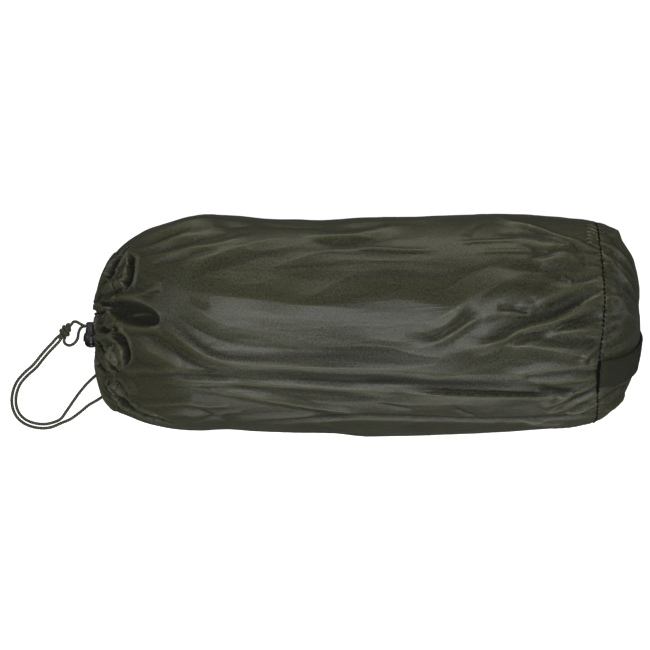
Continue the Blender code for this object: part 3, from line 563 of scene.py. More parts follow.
def pucker_relief(distance, angles, reach, seed):
    """Puckers beside the seam, strongest at it."""
    v = np.broadcast_to(angles[None, :] / TURN, distance.shape)
    drift = gradient_noise(distance / 60, v * 15, 15, seed)
    waves = gradient_noise(distance / 26, v * 74 + 1.5 * drift, 74, seed + 1)
    fine = gradient_noise(distance / 14, v * 140 + drift, 140, seed + 2)
    fade = np.exp(-np.maximum(distance, 0) / reach)
    return fade * (1.7 * waves + 0.7 * fine)


def softened(relief, times):
    soft = relief.copy()
    for _ in range(times):
        sides = np.roll(soft, 1, axis=1) + np.roll(soft, -1, axis=1)
        ends = np.vstack([soft[:1], soft[:-1]]) + np.vstack([soft[1:], soft[-1:]])
        soft = (2 * soft + sides + ends) / 6
    return soft


def painted_light_shares(relief, pockets):
    """-1 deep in pockets and valleys to 1 on crests: painted shade in the hollows and painted highlights on the
    crests of the cloth's colour, with the marks' painted shade or highlight laid over it.
    """
    fine = np.clip((relief - softened(relief, 10)) / 0.45, -0.3, 1)
    broad = relief - softened(relief, 120)
    broad = np.clip(np.where(broad < 0, np.minimum(broad + 0.8, 0) / 2.4, broad / 6), -1, 0.5)
    return np.clip(0.8 * fine + 1.1 * broad, -1, 1) * (1 - pockets) - pockets


# ---- meshes --------------------------------------------------------------------------------------
def add_object(name, data, material):
    obj = bpy.data.objects.new(name, data)
    bpy.context.scene.collection.objects.link(obj)
    data.materials.append(material)
    return obj


def grid_faces(rows, columns, closed, first=0):
    last = columns if closed else columns - 1
    r, c = np.meshgrid(np.arange(rows - 1), np.arange(last), indexing="ij")
    n = (c + 1) % columns
    corners = (r * columns + c, r * columns + n, (r + 1) * columns + n, (r + 1) * columns + c)
    return np.stack(corners, axis=2).reshape(-1, 4) + first


def grid_lengths(points):
    """Cloth lengths in mm along a grid's rows and round its middle ring."""
    steps = np.linalg.norm(np.diff(points, axis=0), axis=2).mean(axis=1)
    middle = points[len(points) // 2]
    return np.concatenate([[0], np.cumsum(steps)]), run_lengths(np.vstack([middle, middle[:1]]))


def grid_mesh(name, points, closed, material, crest=None, start_tip=None, end_tip=None,
              lengths=None, normals=None):
    """Mesh over a grid of points in mm, with cloth lengths in metres as its UV map."""
    rows, columns = points.shape[:2]
    verts = points.reshape(-1, 3) * MM
    faces = grid_faces(rows, columns, closed).tolist()
    for tip, row, turn in ((start_tip, 0, 1), (end_tip, rows - 1, -1)):
        if tip is not None:
            middle = len(verts)
            verts = np.vstack([verts, np.array(tip)[None] * MM])
            ring = [row * columns + k for k in range(columns)]
            pairs = zip(ring, ring[1:] + ring[:1])
            faces += [((b, a, middle) if turn == 1 else (a, b, middle)) for a, b in pairs]
    data = bpy.data.meshes.new(name)
    data.from_pydata(verts.tolist(), [], faces)
    data.polygons.foreach_set("use_smooth", [True] * len(data.polygons))
    along, around = lengths or grid_lengths(points)
    loops = np.zeros(len(data.loops), int)
    data.loops.foreach_get("vertex_index", loops)
    row_of, column_of = np.minimum(loops // columns, rows - 1), loops % columns
    v = around[column_of]
    quads = 4 * (rows - 1) * (columns if closed else columns - 1)
    if closed:
        block = v[:quads].reshape(-1, 4)
        wraps = (block.max(axis=1) - block.min(axis=1)) > around[-1] / 2
        near_start = block[wraps] < around[-1] / 2
        block[wraps] = np.where(near_start, block[wraps] + around[-1], block[wraps])
    uv = np.column_stack([along[row_of], v]) * MM
    data.uv_layers.new(name="cloth").data.foreach_set("uv", uv.astype(np.float32).ravel())
    # the crest attribute carries the shares of painted shade and highlight that the material reads
    if crest is not None:
        values = np.zeros(len(verts), np.float32)
        values[:rows * columns] = crest.ravel()
        data.attributes.new("crest", "FLOAT", "POINT").data.foreach_set("value", values)
    data.validate()
    data.update()
    if normals is not None:
        tips = np.tile((-1.0, 0.0, 0.0), (len(verts) - rows * columns, 1))
        data.normals_split_custom_set_from_vertices(np.vstack([normals.reshape(-1, 3), tips]).tolist())
    return add_object(name, data, material)


def smooth_faces_out(obj):
    """Turns the faces outward."""
    mesh = bmesh.new()
    mesh.from_mesh(obj.data)
    bmesh.ops.recalc_face_normals(mesh, faces=mesh.faces)
    mesh.to_mesh(obj.data)
    mesh.free()


def finished(obj, body, slot, *nodes):
    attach(obj, body)
    if nodes:
        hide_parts(*nodes)
    return obj


# ---- materials -----------------------------------------------------------------------------------
def new_material(name):
    material = bpy.data.materials.new(name)
    material.use_nodes = True
    tree = material.node_tree
    return material, tree, tree.nodes["Principled BSDF"]


def feed(tree, node, values):
    """Fills a node's inputs: an output is linked, anything else is the input's own value."""
    for key, value in values.items():
        if isinstance(value, bpy.types.NodeSocket):
            tree.links.new(value, node.inputs[key])
        else:
            node.inputs[key].default_value = value


def add_node(tree, kind, values=None, **settings):
    node = tree.nodes.new("ShaderNode" + kind)
    for key, value in settings.items():
        setattr(node, key, value)
    feed(tree, node, values or {})
    return node


def cloth_lengths(tree):
    """Place on the cloth in metres along and round it."""
    return add_node(tree, "UVMap", uv_map="cloth").outputs[0]


def object_place(tree):
    return add_node(tree, "TexCoord").outputs["Object"]


# The mesh's crest attribute, which carries its painted shade and highlights.
def painted_light_value(tree):
    return add_node(tree, "Attribute", attribute_name="crest").outputs["Fac"]


def noise(tree, place, scale, detail, roughness=0.5, distortion=0.0):
    values = {"Vector": place, "Scale": scale, "Detail": detail, "Roughness": roughness,
              "Distortion": distortion}
    return add_node(tree, "TexNoise", values).outputs["Fac"]


def stretched(tree, place, along, around):
    return add_node(tree, "Mapping", {"Vector": place, "Scale": (along, around, 1.0)}).outputs[0]


def bands(tree, place, direction, pitch, distortion=0.0, detail=2.0):
    """Stripes, one to each pitch in metres."""
    values = {"Vector": place, "Scale": TURN / 20 / pitch, "Distortion": distortion, "Detail": detail}
    return add_node(tree, "TexWave", values, wave_type="BANDS", bands_direction=direction).outputs["Fac"]


def combined(tree, operation, *terms, clamp=False):
    return add_node(tree, "Math", dict(enumerate(terms)), operation=operation, use_clamp=clamp).outputs[0]


def ranged(tree, value, low, high, to_low=0.0, to_high=1.0):
    values = {"Value": value, "From Min": low, "From Max": high, "To Min": to_low, "To Max": to_high}
    return add_node(tree, "MapRange", values).outputs[0]


def colour_ramp(tree, share, stops):
    ramp = add_node(tree, "ValToRGB", {"Fac": share})
    elements = ramp.color_ramp.elements
    for _ in stops[2:]:
        elements.new(0.5)
    for element, (position, colour) in zip(elements, stops):
        element.position = position
        element.color = (*colour, 1)
    return ramp.outputs["Color"]


def tinted(tree, shader, share, dark, light):
    mix = add_node(tree, "Mix", data_type="RGBA")
    feed(tree, mix, {"A": (*dark, 1), "B": (*light, 1), "Factor": share})
    tree.links.new(mix.outputs["Result"], shader.inputs["Base Color"])


def bumped(tree, shader, *layers):
    """Stacks bumps on the shader: height, strength and distance in metres of each."""
    normal = None
    for height, strength, distance in layers:
        values = {"Height": height, "Strength": strength, "Distance": distance}
        if normal is not None:
            values["Normal"] = normal
        normal = add_node(tree, "Bump", values).outputs[0]
    tree.links.new(normal, shader.inputs["Normal"])


def set_finish(shader, roughness, specular=0.5, sheen=0.0, sheen_roughness=0.4, tint=(1, 1, 1)):
    shader.inputs["Roughness"].default_value = roughness
    shader.inputs["Specular IOR Level"].default_value = specular
    shader.inputs["Sheen Weight"].default_value = sheen
    shader.inputs["Sheen Roughness"].default_value = sheen_roughness
    shader.inputs["Sheen Tint"].default_value = (*tint, 1)


def weave_height(tree, cloth, pitch_along, pitch_around):
    """Plain weave: crossing bands of threads."""
    along, around = bands(tree, cloth, "X", pitch_along), bands(tree, cloth, "Y", pitch_around)
    return combined(tree, "MULTIPLY", along, around)


def ridge_height(tree, cloth, along, around, distortion, narrow):
    """Sharp thin wrinkles: 1 on the lines where a stretched noise crosses its middle, 0 away."""
    lines = noise(tree, stretched(tree, cloth, along, around), 1.0, 1.5, 0.4, distortion)
    gap = combined(tree, "ABSOLUTE", combined(tree, "SUBTRACT", lines, 0.5))
    return ranged(tree, gap, 0.0, narrow, 1.0, 0.0)


# The tint on a crest is a painted highlight, the tint in a pocket or valley painted shade.
PAINTED_LIGHT_TINT = 0.55            # how far a crest or a pocket moves the cloth's colour
GRAIN = 1.7                  # contrast of single threads
POCKET_ROUGHNESS = 0.95


def cloth_material(name, dark, light, roughness, specular, sheen):
    """Fine woven nylon: its colour drifts and varies from thread to thread, with a painted highlight on
    crests and painted shade in valleys and pockets, and weave, thin tension wrinkles and small slack
    as bump. Pockets are dull."""
    material, tree, shader = new_material(name)
    cloth, place, crest = cloth_lengths(tree), object_place(tree), painted_light_value(tree)
    drift = ranged(tree, noise(tree, place, 9.0, 3.0, 0.55), 0.3, 0.7, 0.34, 0.66)
    # painted highlight on crests and painted shade in valleys and pockets, from the crest attribute
    shade = combined(tree, "MULTIPLY_ADD", crest, PAINTED_LIGHT_TINT, drift)
    for along, around in ((380.0, 1000.0), (1000.0, 380.0)):
        slub = noise(tree, stretched(tree, cloth, along, around), 1.0, 2.0, 0.6)
        shade = combined(tree, "MULTIPLY_ADD", slub, GRAIN, shade)
    tinted(tree, shader, combined(tree, "SUBTRACT", shade, GRAIN, clamp=True), dark, light)

    weave = weave_height(tree, cloth, 0.0006, 0.0006)
    slack = noise(tree, stretched(tree, cloth, 45.0, 190.0), 1.0, 4.0, 0.6, 0.8)
    patches = ranged(tree, noise(tree, place, 16.0, 1.0), 0.5, 0.68)
    wrinkles = combined(tree, "MULTIPLY", ridge_height(tree, cloth, 16.0, 120.0, 0.5, 0.10), patches)
    creep = ridge_height(tree, cloth, 38.0, 260.0, 0.8, 0.12)
    bumped(tree, shader, (weave, 0.5, 0.0001), (shade, 0.3, 0.00008), (slack, 0.2, 0.0003),
           (wrinkles, 0.35, 0.0003), (creep, 0.3, 0.00005))
    set_finish(shader, roughness, specular, sheen, 0.45, (0.86, 0.86, 0.80))
    dull = ranged(tree, crest, -1.0, -0.15, POCKET_ROUGHNESS, roughness)
    tree.links.new(dull, shader.inputs["Roughness"])
    return material


def webbing_material():
    """Coarse twill band: diagonal ribs across a weave, with painted shade in the grooves between the ribs."""
    material, tree, shader = new_material("webbing_twill")
    cloth = cloth_lengths(tree)
    aslant = add_node(tree, "Mapping", {"Vector": cloth, "Rotation": (0, 0, math.radians(38))}).outputs[0]
    rib = bands(tree, aslant, "X", 0.0021, 0.6, 1.0)
    height = combined(tree, "MULTIPLY_ADD", weave_height(tree, cloth, 0.0011, 0.0015), 0.4, rib)
    bumped(tree, shader, (height, 0.8, 0.0004))
    # painted shade: darker down in the rib grooves, lighter on the ribs
    tinted(tree, shader, rib, (0.008, 0.0085, 0.005), (0.040, 0.042, 0.025))
    set_finish(shader, 0.75, 0.2, 0.03, 0.4)
    return material


def net_material():
    """Brown netting cloth, mottled and coarse."""
    material, tree, shader = new_material("brown_netting")
    place = object_place(tree)
    mottle = noise(tree, place, 260.0, 5.0, 0.65)
    mesh = add_node(tree, "TexVoronoi", {"Vector": place, "Scale": 900.0}, feature="DISTANCE_TO_EDGE")
    colour = colour_ramp(tree, mottle, ((0.36, (0.030, 0.019, 0.015)), (0.64, (0.150, 0.092, 0.074))))
    tree.links.new(colour, shader.inputs["Base Color"])
    bumped(tree, shader, (mesh.outputs["Distance"], 0.9, 0.0005))
    set_finish(shader, 0.75, 0.25, 0.2, 0.5)
    return material


def cord_material():
    """Braided cord coloured by its yarns' height: lighter olive on their tops, painted shade down their flanks
    and in the gaps between them, with a grain.
    """
    material, tree, shader = new_material("braided_cord")
    grain = noise(tree, object_place(tree), 1500.0, 2.0)
    # painted shade in the braid's gaps, from the yarns' height, with a grain over it
    blend = combined(tree, "MULTIPLY_ADD", grain, 0.35, painted_light_value(tree))
    stops = ((0.20, (0.006, 0.007, 0.003)), (0.55, (0.028, 0.031, 0.016)), (1.0, (0.125, 0.132, 0.062)))
    tree.links.new(colour_ramp(tree, blend, stops), shader.inputs["Base Color"])
    bumped(tree, shader, (grain, 0.4, 0.00012))
    set_finish(shader, 0.55, 0.4, 0.15, 0.4)
    return material


def plastic_material(name, colour, roughness):
    """Moulded plastic with a faint pebble and rubbed patches."""
    material, tree, shader = new_material(name)
    place = object_place(tree)
    bumped(tree, shader, (noise(tree, place, 900.0, 3.0), 0.25, 0.0001))
    rub = noise(tree, place, 160.0, 3.0)
    gloss = ranged(tree, rub, 0.0, 1.0, roughness - 0.08, roughness + 0.12)
    tree.links.new(gloss, shader.inputs["Roughness"])
    tinted(tree, shader, rub, colour, [c * 1.9 for c in colour])
    shader.inputs["Specular IOR Level"].default_value = 0.5
    return material


def thread_material():
    material, tree, shader = new_material("seam_thread")
    twist = noise(tree, object_place(tree), 2500.0, 1.0)
    colour = colour_ramp(tree, twist, ((0.0, (0.001, 0.001, 0.001)), (1.0, (0.006, 0.006, 0.004))))
    tree.links.new(colour, shader.inputs["Base Color"])
    set_finish(shader, 0.8, 0.12)
    return material


# ---- the sack ------------------------------------------------------------------------------------
def grid_angles():
    """Angles of the columns, closer together on top of the sack."""
    dense = np.linspace(0, TURN, 4001)
    run = np.concatenate([[0], np.cumsum(np.diff(dense) * (1 + TOP_DENSITY * np.sin(dense[:-1])))])
    return np.interp(np.linspace(0, run[-1], COLUMNS + 1)[:-1], run, dense)


def row_positions():
    """Section numbers of the rows: closest at the mouth, then closer again beside the seam."""
    dense = np.linspace(0, len(SECTIONS) - 1, 3401)
    rows = catmull_rom(SECTIONS, dense)
    step = np.linalg.norm(np.diff(rows[:, [0, 3]], axis=0), axis=1)
    step += np.linalg.norm(np.diff(rows[:, [0, 1]], axis=0), axis=1)
    x = rows[:-1, 0]
    density = 1 + 0.35 * smooth((x - 40) / 60) + 0.4 * smooth((x - 165) / 20)
    run = np.concatenate([[0], np.cumsum(step * density)])
    border = np.interp(MOUTH_END, dense, run)
    mouth = np.linspace(0, border, MOUTH_ROWS)
    tube = np.linspace(border, run[-1], TUBE_ROWS)
    return np.interp(np.concatenate([mouth, tube[1:]]), run, dense)


def seam_shift(angles):
    shift = SEAM_CROWN * np.maximum(0, np.sin(angles)) ** 1.5 + 0.8 * np.sin(5 * angles)
    for middle, height, spread in SEAM_BENDS:
        shift = shift + height * np.exp(-(((np.degrees(angles) - middle) / spread) ** 2))
    return shift


def oval(rows, angles):
    """Grid of points on the sections' ovals."""
    x, plus_y, minus_y, top, under = (rows[:, k][:, None] for k in range(5))
    y = (plus_y + minus_y) / 2 + (plus_y - minus_y) / 2 * np.cos(angles)[None, :]
    z = (top + under) / 2 + (top - under) / 2 * np.sin(angles)[None, :]
    return np.stack([np.broadcast_to(x, y.shape), y, z], axis=2)


def sack_surface(angles):
    """Grid of the sack's cloth from the dimple's floor to the seam, and its crests with the painted shade and
    highlights for its colour.
    """
    positions = row_positions()
    points = oval(catmull_rom(SECTIONS, positions), angles)
    wave = np.clip((points[:, :, 0] - SEAM_WAVE_START) / (SEAM_X - SEAM_WAVE_START), 0, 1) ** 2
    points[:, :, 0] += wave * seam_shift(angles)[None, :]
    normals = grid_normals(points, closed=True)
    at_rim = np.exp(-(((positions - RIM_SECTION) / 1.1) ** 2))[:, None] * smooth(points[:, :, 2] / 30 - 1)
    points[:, :, 0] += NET_NOTCH * at_rim * np.exp(-(((points[:, :, 1] - 2) / 6) ** 2))
    relief = pleat_relief(positions, angles) + lump_relief(points, angles) + dent_relief(points, normals)
    pockets = np.zeros(relief.shape)
    for crease in MOUTH_CREASES + BODY_CREASES + SEAM_PUCKERS + SIDE_CREASES:
        relief += crease_relief(crease, points, normals)
        # painted shade over each slot, so its walls and floor are dark in colour
        if crease.kind == "slot":
            inside = crease_relief(crease._replace(kind="inside", depth=1.0), points, normals)
            pockets = np.maximum(pockets, inside)
    # bands of painted shade and lines of painted highlight over the cloth
    for painted_light in BODY_PAINTED_LIGHT:
        pockets += crease_relief(painted_light, points, normals)
    pockets = np.clip(pockets, -1, 1)
    rim = smooth((positions - 1.9) / 1.3)[:, None]
    seam_gap = (SEAM_X + seam_shift(angles))[None, :] - points[:, :, 0]
    seam = 0.5 + 0.5 * smooth(seam_gap / 12)
    relief = relief * rim * seam + loose_relief(points, angles) * rim * smooth(seam_gap / 20)
    relief += gather_relief(positions, angles) + pucker_relief(seam_gap, angles, 11, 41)
    relief -= SEAM_GROOVE * np.exp(-((seam_gap / 2.0) ** 2))
    points = points + normals * relief[:, :, None]
    points[:, :, 2] = np.maximum(points[:, :, 2], 0.0)
    return positions, points, painted_light_shares(relief, pockets)


def turned_in(ring, middle, steps):
    """Rings that follow a hem or seam allowance inward from an edge ring."""
    rings = []
    for share, shift in steps:
        inner = middle + (ring - middle) * share
        inner[:, 0] += shift
        rings.append(inner)
    return np.array(rings)


def make_sack(angles, material):
    """The tube in two meshes that share a ring, its normals and its cloth lengths."""
    positions, points, crest = sack_surface(angles)
    steps = ((0.985, -0.4), (0.965, -1.4), (0.94, -2.6))
    allowance = turned_in(points[-1], points[-1].mean(axis=0), steps)
    allowance[:, :, 2] = np.maximum(allowance[:, :, 2], 0.3)
    crest = np.vstack([crest, np.zeros(allowance.shape[:2])])
    whole = np.vstack([points, allowance])
    normals = grid_normals(whole, closed=True)
    along, around = grid_lengths(whole)
    tube = slice(MOUTH_ROWS - 1, None)
    mouth = slice(None, MOUTH_ROWS)
    for name, part, tip in (("mouth_cloth", mouth, points[0].mean(axis=0)), ("sack_cloth", tube, None)):
        cloth = grid_mesh(name, whole[part], True, material, crest[part], start_tip=tip,
                          lengths=(along[part], around), normals=normals[part])
        finished(cloth, "sack", "cloth", "sack_body")
    return positions, points


def panel_surface(angles):
    """Grid of the bottom panel from the seam to the middle of its bulge with its relief, and the shares of
    painted shade and highlight for its colour.
    """
    shares = (1 - np.linspace(0, 1, PANEL_ROWS)[:-1] ** 1.5)[:, None]
    rim = oval(np.array([SEAM_OVAL]), angles)[0]
    y = SEAM_MIDDLE_Y + (rim[:, 1] - SEAM_MIDDLE_Y)[None, :] * shares
    z = SEAM_MIDDLE_Z + (rim[:, 2] - SEAM_MIDDLE_Z)[None, :] * shares
    rim_x = (SEAM_X + seam_shift(angles))[None, :]
    x = rim_x * shares**3 + SEAM_X * (1 - shares**3) + CLEARANCE * (1 - shares**40)
    x = x + panel_bulge(shares, angles[None, :]) + panel_lean(y, shares)
    points = np.stack([x, y, z], axis=2)
    normals = grid_normals(points, closed=True)
    relief = np.zeros(points.shape[:2])
    for crease in PANEL_CREASES:
        relief += crease_relief(crease, points, normals)
    inward = (1 - shares) * SACK_RADIUS * np.ones((1, len(angles)))
    # painted highlights and painted shade on the panel
    painted_lights = sum(crease_relief(painted_light, points, normals) for painted_light in PANEL_PAINTED_LIGHT)
    strap = strap_shade(points)
    relief *= (1 - 0.9 * strap) * (0.4 + 0.6 * smooth(inward / 6))
    v = np.broadcast_to(angles[None, :] / TURN, inward.shape)
    slack = 1.3 * gradient_noise(inward / 40, v * 9, 9, 61)
    slack = slack + 0.15 * gradient_noise(inward / 22, v * 24, 24, 62)
    relief += slack * smooth(inward / 12) * smooth(shares / 0.25) * (1 - 0.8 * strap)
    relief += pucker_relief(inward, angles, 8, 47) * (1 - 0.8 * strap)
    relief -= SEAM_GROOVE * np.exp(-((inward / 2.0) ** 2))
    points = points + normals * relief[:, :, None]
    points[:, :, 2] = np.maximum(points[:, :, 2], 0.0)
    return points, painted_light_shares(relief, np.clip(painted_lights, -1, 1))


def panel_bulge(share, angle):
    """Height of the bottom panel over the seam's plane, fuller towards +Y."""
    fullness = 0.5 + 0.5 * np.cos(angle)
    power = 2.0 + 0.6 * fullness
    root = 0.70 - 0.24 * fullness
    crease = np.exp(-(((np.degrees(angle) - 47) / 9) ** 2)) * 2.5 * share**2 * (1 - share)
    return PANEL_BULGE * np.maximum(0.0, 1 - share**power) ** root - 4 * crease


def panel_lean(y, share):
    """The bulge leans towards -Y, as its outline shows."""
    return -PANEL_LEAN * y * (1 - share**5)


def make_panel(angles, material):
    points, crest = panel_surface(angles)
    steps = ((0.94, 2.6), (0.965, 1.4), (0.985, 0.4))
    allowance = turned_in(points[0], points[0].mean(axis=0), steps)
    allowance[:, :, 2] = np.maximum(allowance[:, :, 2], 0.3)
    crest = np.vstack([np.zeros(allowance.shape[:2]), crest])
    panel = grid_mesh("end_cloth", np.vstack([allowance, points]), True, material, crest,
                      end_tip=points[-1].mean(axis=0))
    finished(panel, "sack", "cloth", "end_panel")
    return points


# ---- webbing -------------------------------------------------------------------------------------
WEBBING_WIDTH = 28.0
WEBBING_THICKNESS = 1.8
STRAP_TOP = (121.5, 1.0)      # angle and share of the panel's radius
STRAP_FOOT = (266.0, 0.905)
STRAP_CLEARANCE = 0.55
STRAP_ROWS = 120


def strap_end(end, offset):
    angle, share = end
    turned = math.radians(angle) + offset / (SEAM_HALF_WIDTH * share)
    y = SEAM_MIDDLE_Y + SEAM_HALF_WIDTH * math.cos(turned) * share
    z = SEAM_MIDDLE_Z + SEAM_HALF_HEIGHT * math.sin(turned) * share
    return np.array([y, z])


def panel_height(y, z):
    """x of the bottom panel's smooth outer face at y and z."""
    u = (y - SEAM_MIDDLE_Y) / SEAM_HALF_WIDTH
    w = (z - SEAM_MIDDLE_Z) / SEAM_HALF_HEIGHT
    share = np.minimum(np.hypot(u, w), 1.0)
    angle = np.arctan2(w, u) % TURN
    rim_x = SEAM_X + seam_shift(angle)
    leaning = panel_bulge(share, angle) + panel_lean(y, share)
    return rim_x * share**3 + SEAM_X * (1 - share**3) + CLEARANCE + leaning


def strap_shade(points):
    """1 where the panel lies under the strap, 0 away from it."""
    top, foot = strap_end(STRAP_TOP, 0), strap_end(STRAP_FOOT, 0)
    span = foot - top
    plan = points[:, :, 1:] - top
    share = np.clip((plan @ span) / (span @ span), 0, 1)
    away = np.linalg.norm(plan - share[:, :, None] * span, axis=2)
    return smooth((WEBBING_WIDTH / 2 + 7 - away) / 6)


def make_strap(material):
    across = np.linspace(-0.5, 0.5, 17) * WEBBING_WIDTH
    runs = (1 - np.cos(np.linspace(0, math.pi, STRAP_ROWS))) / 2
    tops = np.array([strap_end(STRAP_TOP, offset) for offset in across])
    feet = np.array([strap_end(STRAP_FOOT, -offset) for offset in across])
    plan = tops[None] * (1 - runs[:, None, None]) + feet[None] * runs[:, None, None]
    x = panel_height(plan[:, :, 0], plan[:, :, 1])
    inner = np.dstack([x, plan])
    normals = grid_normals(inner, closed=False)
    normals *= np.sign(normals[:, :, :1])
    edge = np.abs(across) / (WEBBING_WIDTH / 2)
    selvedge = 0.25 * np.exp(-(((edge - 0.88) / 0.07) ** 2))
    thickness = WEBBING_THICKNESS * (1 - 0.45 * smooth((edge - 0.93) / 0.07)) + selvedge
    run = run_lengths(inner[:, 8])
    sewn_in = (0.12 + 0.88 * smooth(run / 9))[:, None, None]
    low = inner + normals * STRAP_CLEARANCE * sewn_in
    high = inner + normals * (STRAP_CLEARANCE + thickness)[None, :, None] * sewn_in
    band = np.concatenate([low, high[:, ::-1]], axis=1)
    strap = grid_mesh("webbing_strap", band, True, material,
                      start_tip=band[0].mean(axis=0), end_tip=band[-1].mean(axis=0))
    smooth_faces_out(strap)
    finished(strap, "sack", "webbing", "grab_strap")


# ---- stitches ------------------------------------------------------------------------------------
def stitch_mesh(name, middles, directions, normals, length, width, rise, material):
    """Row of short threads, each a spindle that stands a little proud of the cloth."""
    stations = ((-0.5, 0.25), (-0.32, 0.85), (0.0, 1.0), (0.32, 0.85), (0.5, 0.25))
    verts, faces = [], []
    sides = 6
    for middle, direction, normal in zip(middles, directions, normals):
        direction = direction / np.linalg.norm(direction)
        beside = np.cross(normal, direction)
        first = len(verts)
        for share, girth in stations:
            for k in range(sides):
                turn = TURN * k / sides
                verts.append(middle + direction * share * length
                             + beside * math.cos(turn) * width / 2 * girth
                             + normal * (math.sin(turn) * rise * girth + 0.15))
        for r in range(len(stations) - 1):
            for k in range(sides):
                a, b = first + r * sides + k, first + r * sides + (k + 1) % sides
                faces.append((a, b, b + sides, a + sides))
        faces.append([first + k for k in range(sides)][::-1])
        faces.append([first + (len(stations) - 1) * sides + k for k in range(sides)])
    data = bpy.data.meshes.new(name)
    data.from_pydata((np.array(verts) * MM).tolist(), [], faces)
    data.polygons.foreach_set("use_smooth", [True] * len(data.polygons))
    obj = add_object(name, data, material)
    smooth_faces_out(obj)
    finished(obj, "sack", "cloth")


def ring_stitches(name, ring, normals, pitch, length, width, rise, material, skew=0.0, span=None):
    """Stitches along a closed ring of points, every pitch, or only over a span of y on top."""
    closed = np.vstack([ring, ring[:1]])
    run = run_lengths(closed)
    marks = np.linspace(0, run[-1], round(run[-1] / pitch) + 1)[:-1]
    turned = np.vstack([normals, normals[:1]])
    middles = np.column_stack([np.interp(marks, run, closed[:, k]) for k in range(3)])
    ahead = np.column_stack([np.interp((marks + 0.6) % run[-1], run, closed[:, k]) for k in range(3)])
    up = np.column_stack([np.interp(marks, run, turned[:, k]) for k in range(3)])
    up /= np.linalg.norm(up, axis=1, keepdims=True)
    directions = ahead - middles
    directions += skew * np.cross(up, directions)
    kept = middles[:, 2] > 1.2
    if span:
        kept = (middles[:, 1] > span[0]) & (middles[:, 1] < span[1]) & (middles[:, 2] > 80)
    stitch_mesh(name, middles[kept], directions[kept], up[kept], length, width, rise, material)


def make_stitches(positions, sack, panel, thread):
    seam = (sack[-1] + panel[0]) / 2
    outward = grid_normals(sack[-12:], closed=True)[-6] + grid_normals(panel[:12], closed=True)[6]
    outward /= np.linalg.norm(outward, axis=1, keepdims=True)
    ring_stitches("seam_stitches", seam + outward * 0.5, outward, SEAM_PITCH, 2.5, 1.5, 0.5, thread, skew=0.5)
    ring_stitches("strap_stitches", seam + outward * 1.0, outward, 1.9, 4.0, 1.8, 0.9, thread, skew=1.4,
                  span=(-58, -32))
    row = int(np.argmin(np.abs(positions - HEM_SECTION)))
    normals = grid_normals(sack, closed=True)
    ring_stitches("channel_stitches", sack[row], normals[row], 3.4, 2.4, 0.55, 0.3, thread)


# ---- packed net in the mouth ---------------------------------------------------------------------
def make_net(material):
    """Crumpled bundle of brown net that swells out of the mouth."""
    low, high = (np.array(corner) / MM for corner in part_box("net_peek"))
    middle, half = (low + high) / 2, (high - low) / 2
    rows, columns = 44, 72
    lat = np.linspace(0.03, math.pi - 0.03, rows)
    lon = np.arange(columns) * TURN / columns
    axis_x = -np.cos(lat)[:, None] * np.ones((1, columns))
    axis_y = np.sin(lat)[:, None] * np.cos(lon)[None, :]
    axis_z = np.sin(lat)[:, None] * np.sin(lon)[None, :]
    v = np.broadcast_to(lon[None, :] / TURN, axis_x.shape)
    u = np.broadcast_to((lat / math.pi)[:, None], axis_x.shape)
    folds = np.abs(gradient_noise(u * 5, v * 9, 9, 71)) + 0.6 * np.abs(gradient_noise(u * 11, v * 19, 19, 72))
    swell = 1.16 - 0.55 * folds
    points = middle + np.dstack([axis_x * half[0], axis_y * half[1], axis_z * half[2]]) * swell[:, :, None]
    net = grid_mesh("packed_net", points, True, material, start_tip=points[0].mean(axis=0),
                    end_tip=points[-1].mean(axis=0))
    smooth_faces_out(net)
    finished(net, "sack", "net", "net_peek")


# ---- cord lock -----------------------------------------------------------------------------------
LOCK_X = -243.4
LOCK_TOP_Y = 2.4
LOCK_Z = 7.4
CORD_HOLE_Y = -1.3
CORD_HOLE_WIDTH = 3.8
STRAND_RISE = 1.55
BARREL_PROFILE = (
    (0, 0), (2.6, -0.02), (3.4, -0.2), (4.3, -0.75), (4.8, -1.5), (5.0, -2.4), (5.0, -8.4), (5.05, -8.8),
    (5.3, -9.5), (5.9, -10.2), (6.4, -11.0), (6.7, -12.0), (6.92, -13.1), (7.0, -14.2), (7.0, -16.9),
    (6.85, -17.3), (6.6, -17.4), (6.3, -17.4), (6.2, -17.3), (6.2, -13.2), (2.9, -13.0), (2.9, -1.6), (0, -1.6),
)
BUTTON_PROFILE = (
    (0, -8.9), (2.4, -8.9), (2.6, -9.1), (2.6, -16.6), (5.7, -16.6), (5.9, -16.8), (5.9, -18.2), (5.84, -18.9),
    (5.66, -19.6), (5.3, -20.4), (4.7, -21.2), (3.9, -21.9), (2.9, -22.4), (1.6, -22.7), (0, -22.8),
)


def turned_mesh(name, profile, material, steps=64):
    """Turned solid about the lock's axis, which runs along -Y."""
    mesh = bmesh.new()
    middle = Vector((LOCK_X, LOCK_TOP_Y, LOCK_Z)) * MM
    rings = []
    for radius, depth in profile:
        if radius == 0:
            rings.append([mesh.verts.new(middle + Vector((0, depth, 0)) * MM)])
        else:
            rings.append([mesh.verts.new(middle + Vector((
                radius * math.cos(TURN * k / steps), depth, radius * math.sin(TURN * k / steps))) * MM)
                for k in range(steps)])
    for a, b in zip(rings, rings[1:]):
        for k in range(steps):
            n = (k + 1) % steps
            corners = [a[k % len(a)], a[n % len(a)], b[n % len(b)], b[k % len(b)]]
            unique = list(dict.fromkeys(corners))
            mesh.faces.new(unique)
    bmesh.ops.recalc_face_normals(mesh, faces=mesh.faces)
    data = bpy.data.meshes.new(name)
    mesh.to_mesh(data)
    mesh.free()
    data.shade_smooth()
    data.set_sharp_from_angle(angle=math.radians(38))
    return add_object(name, data, material)


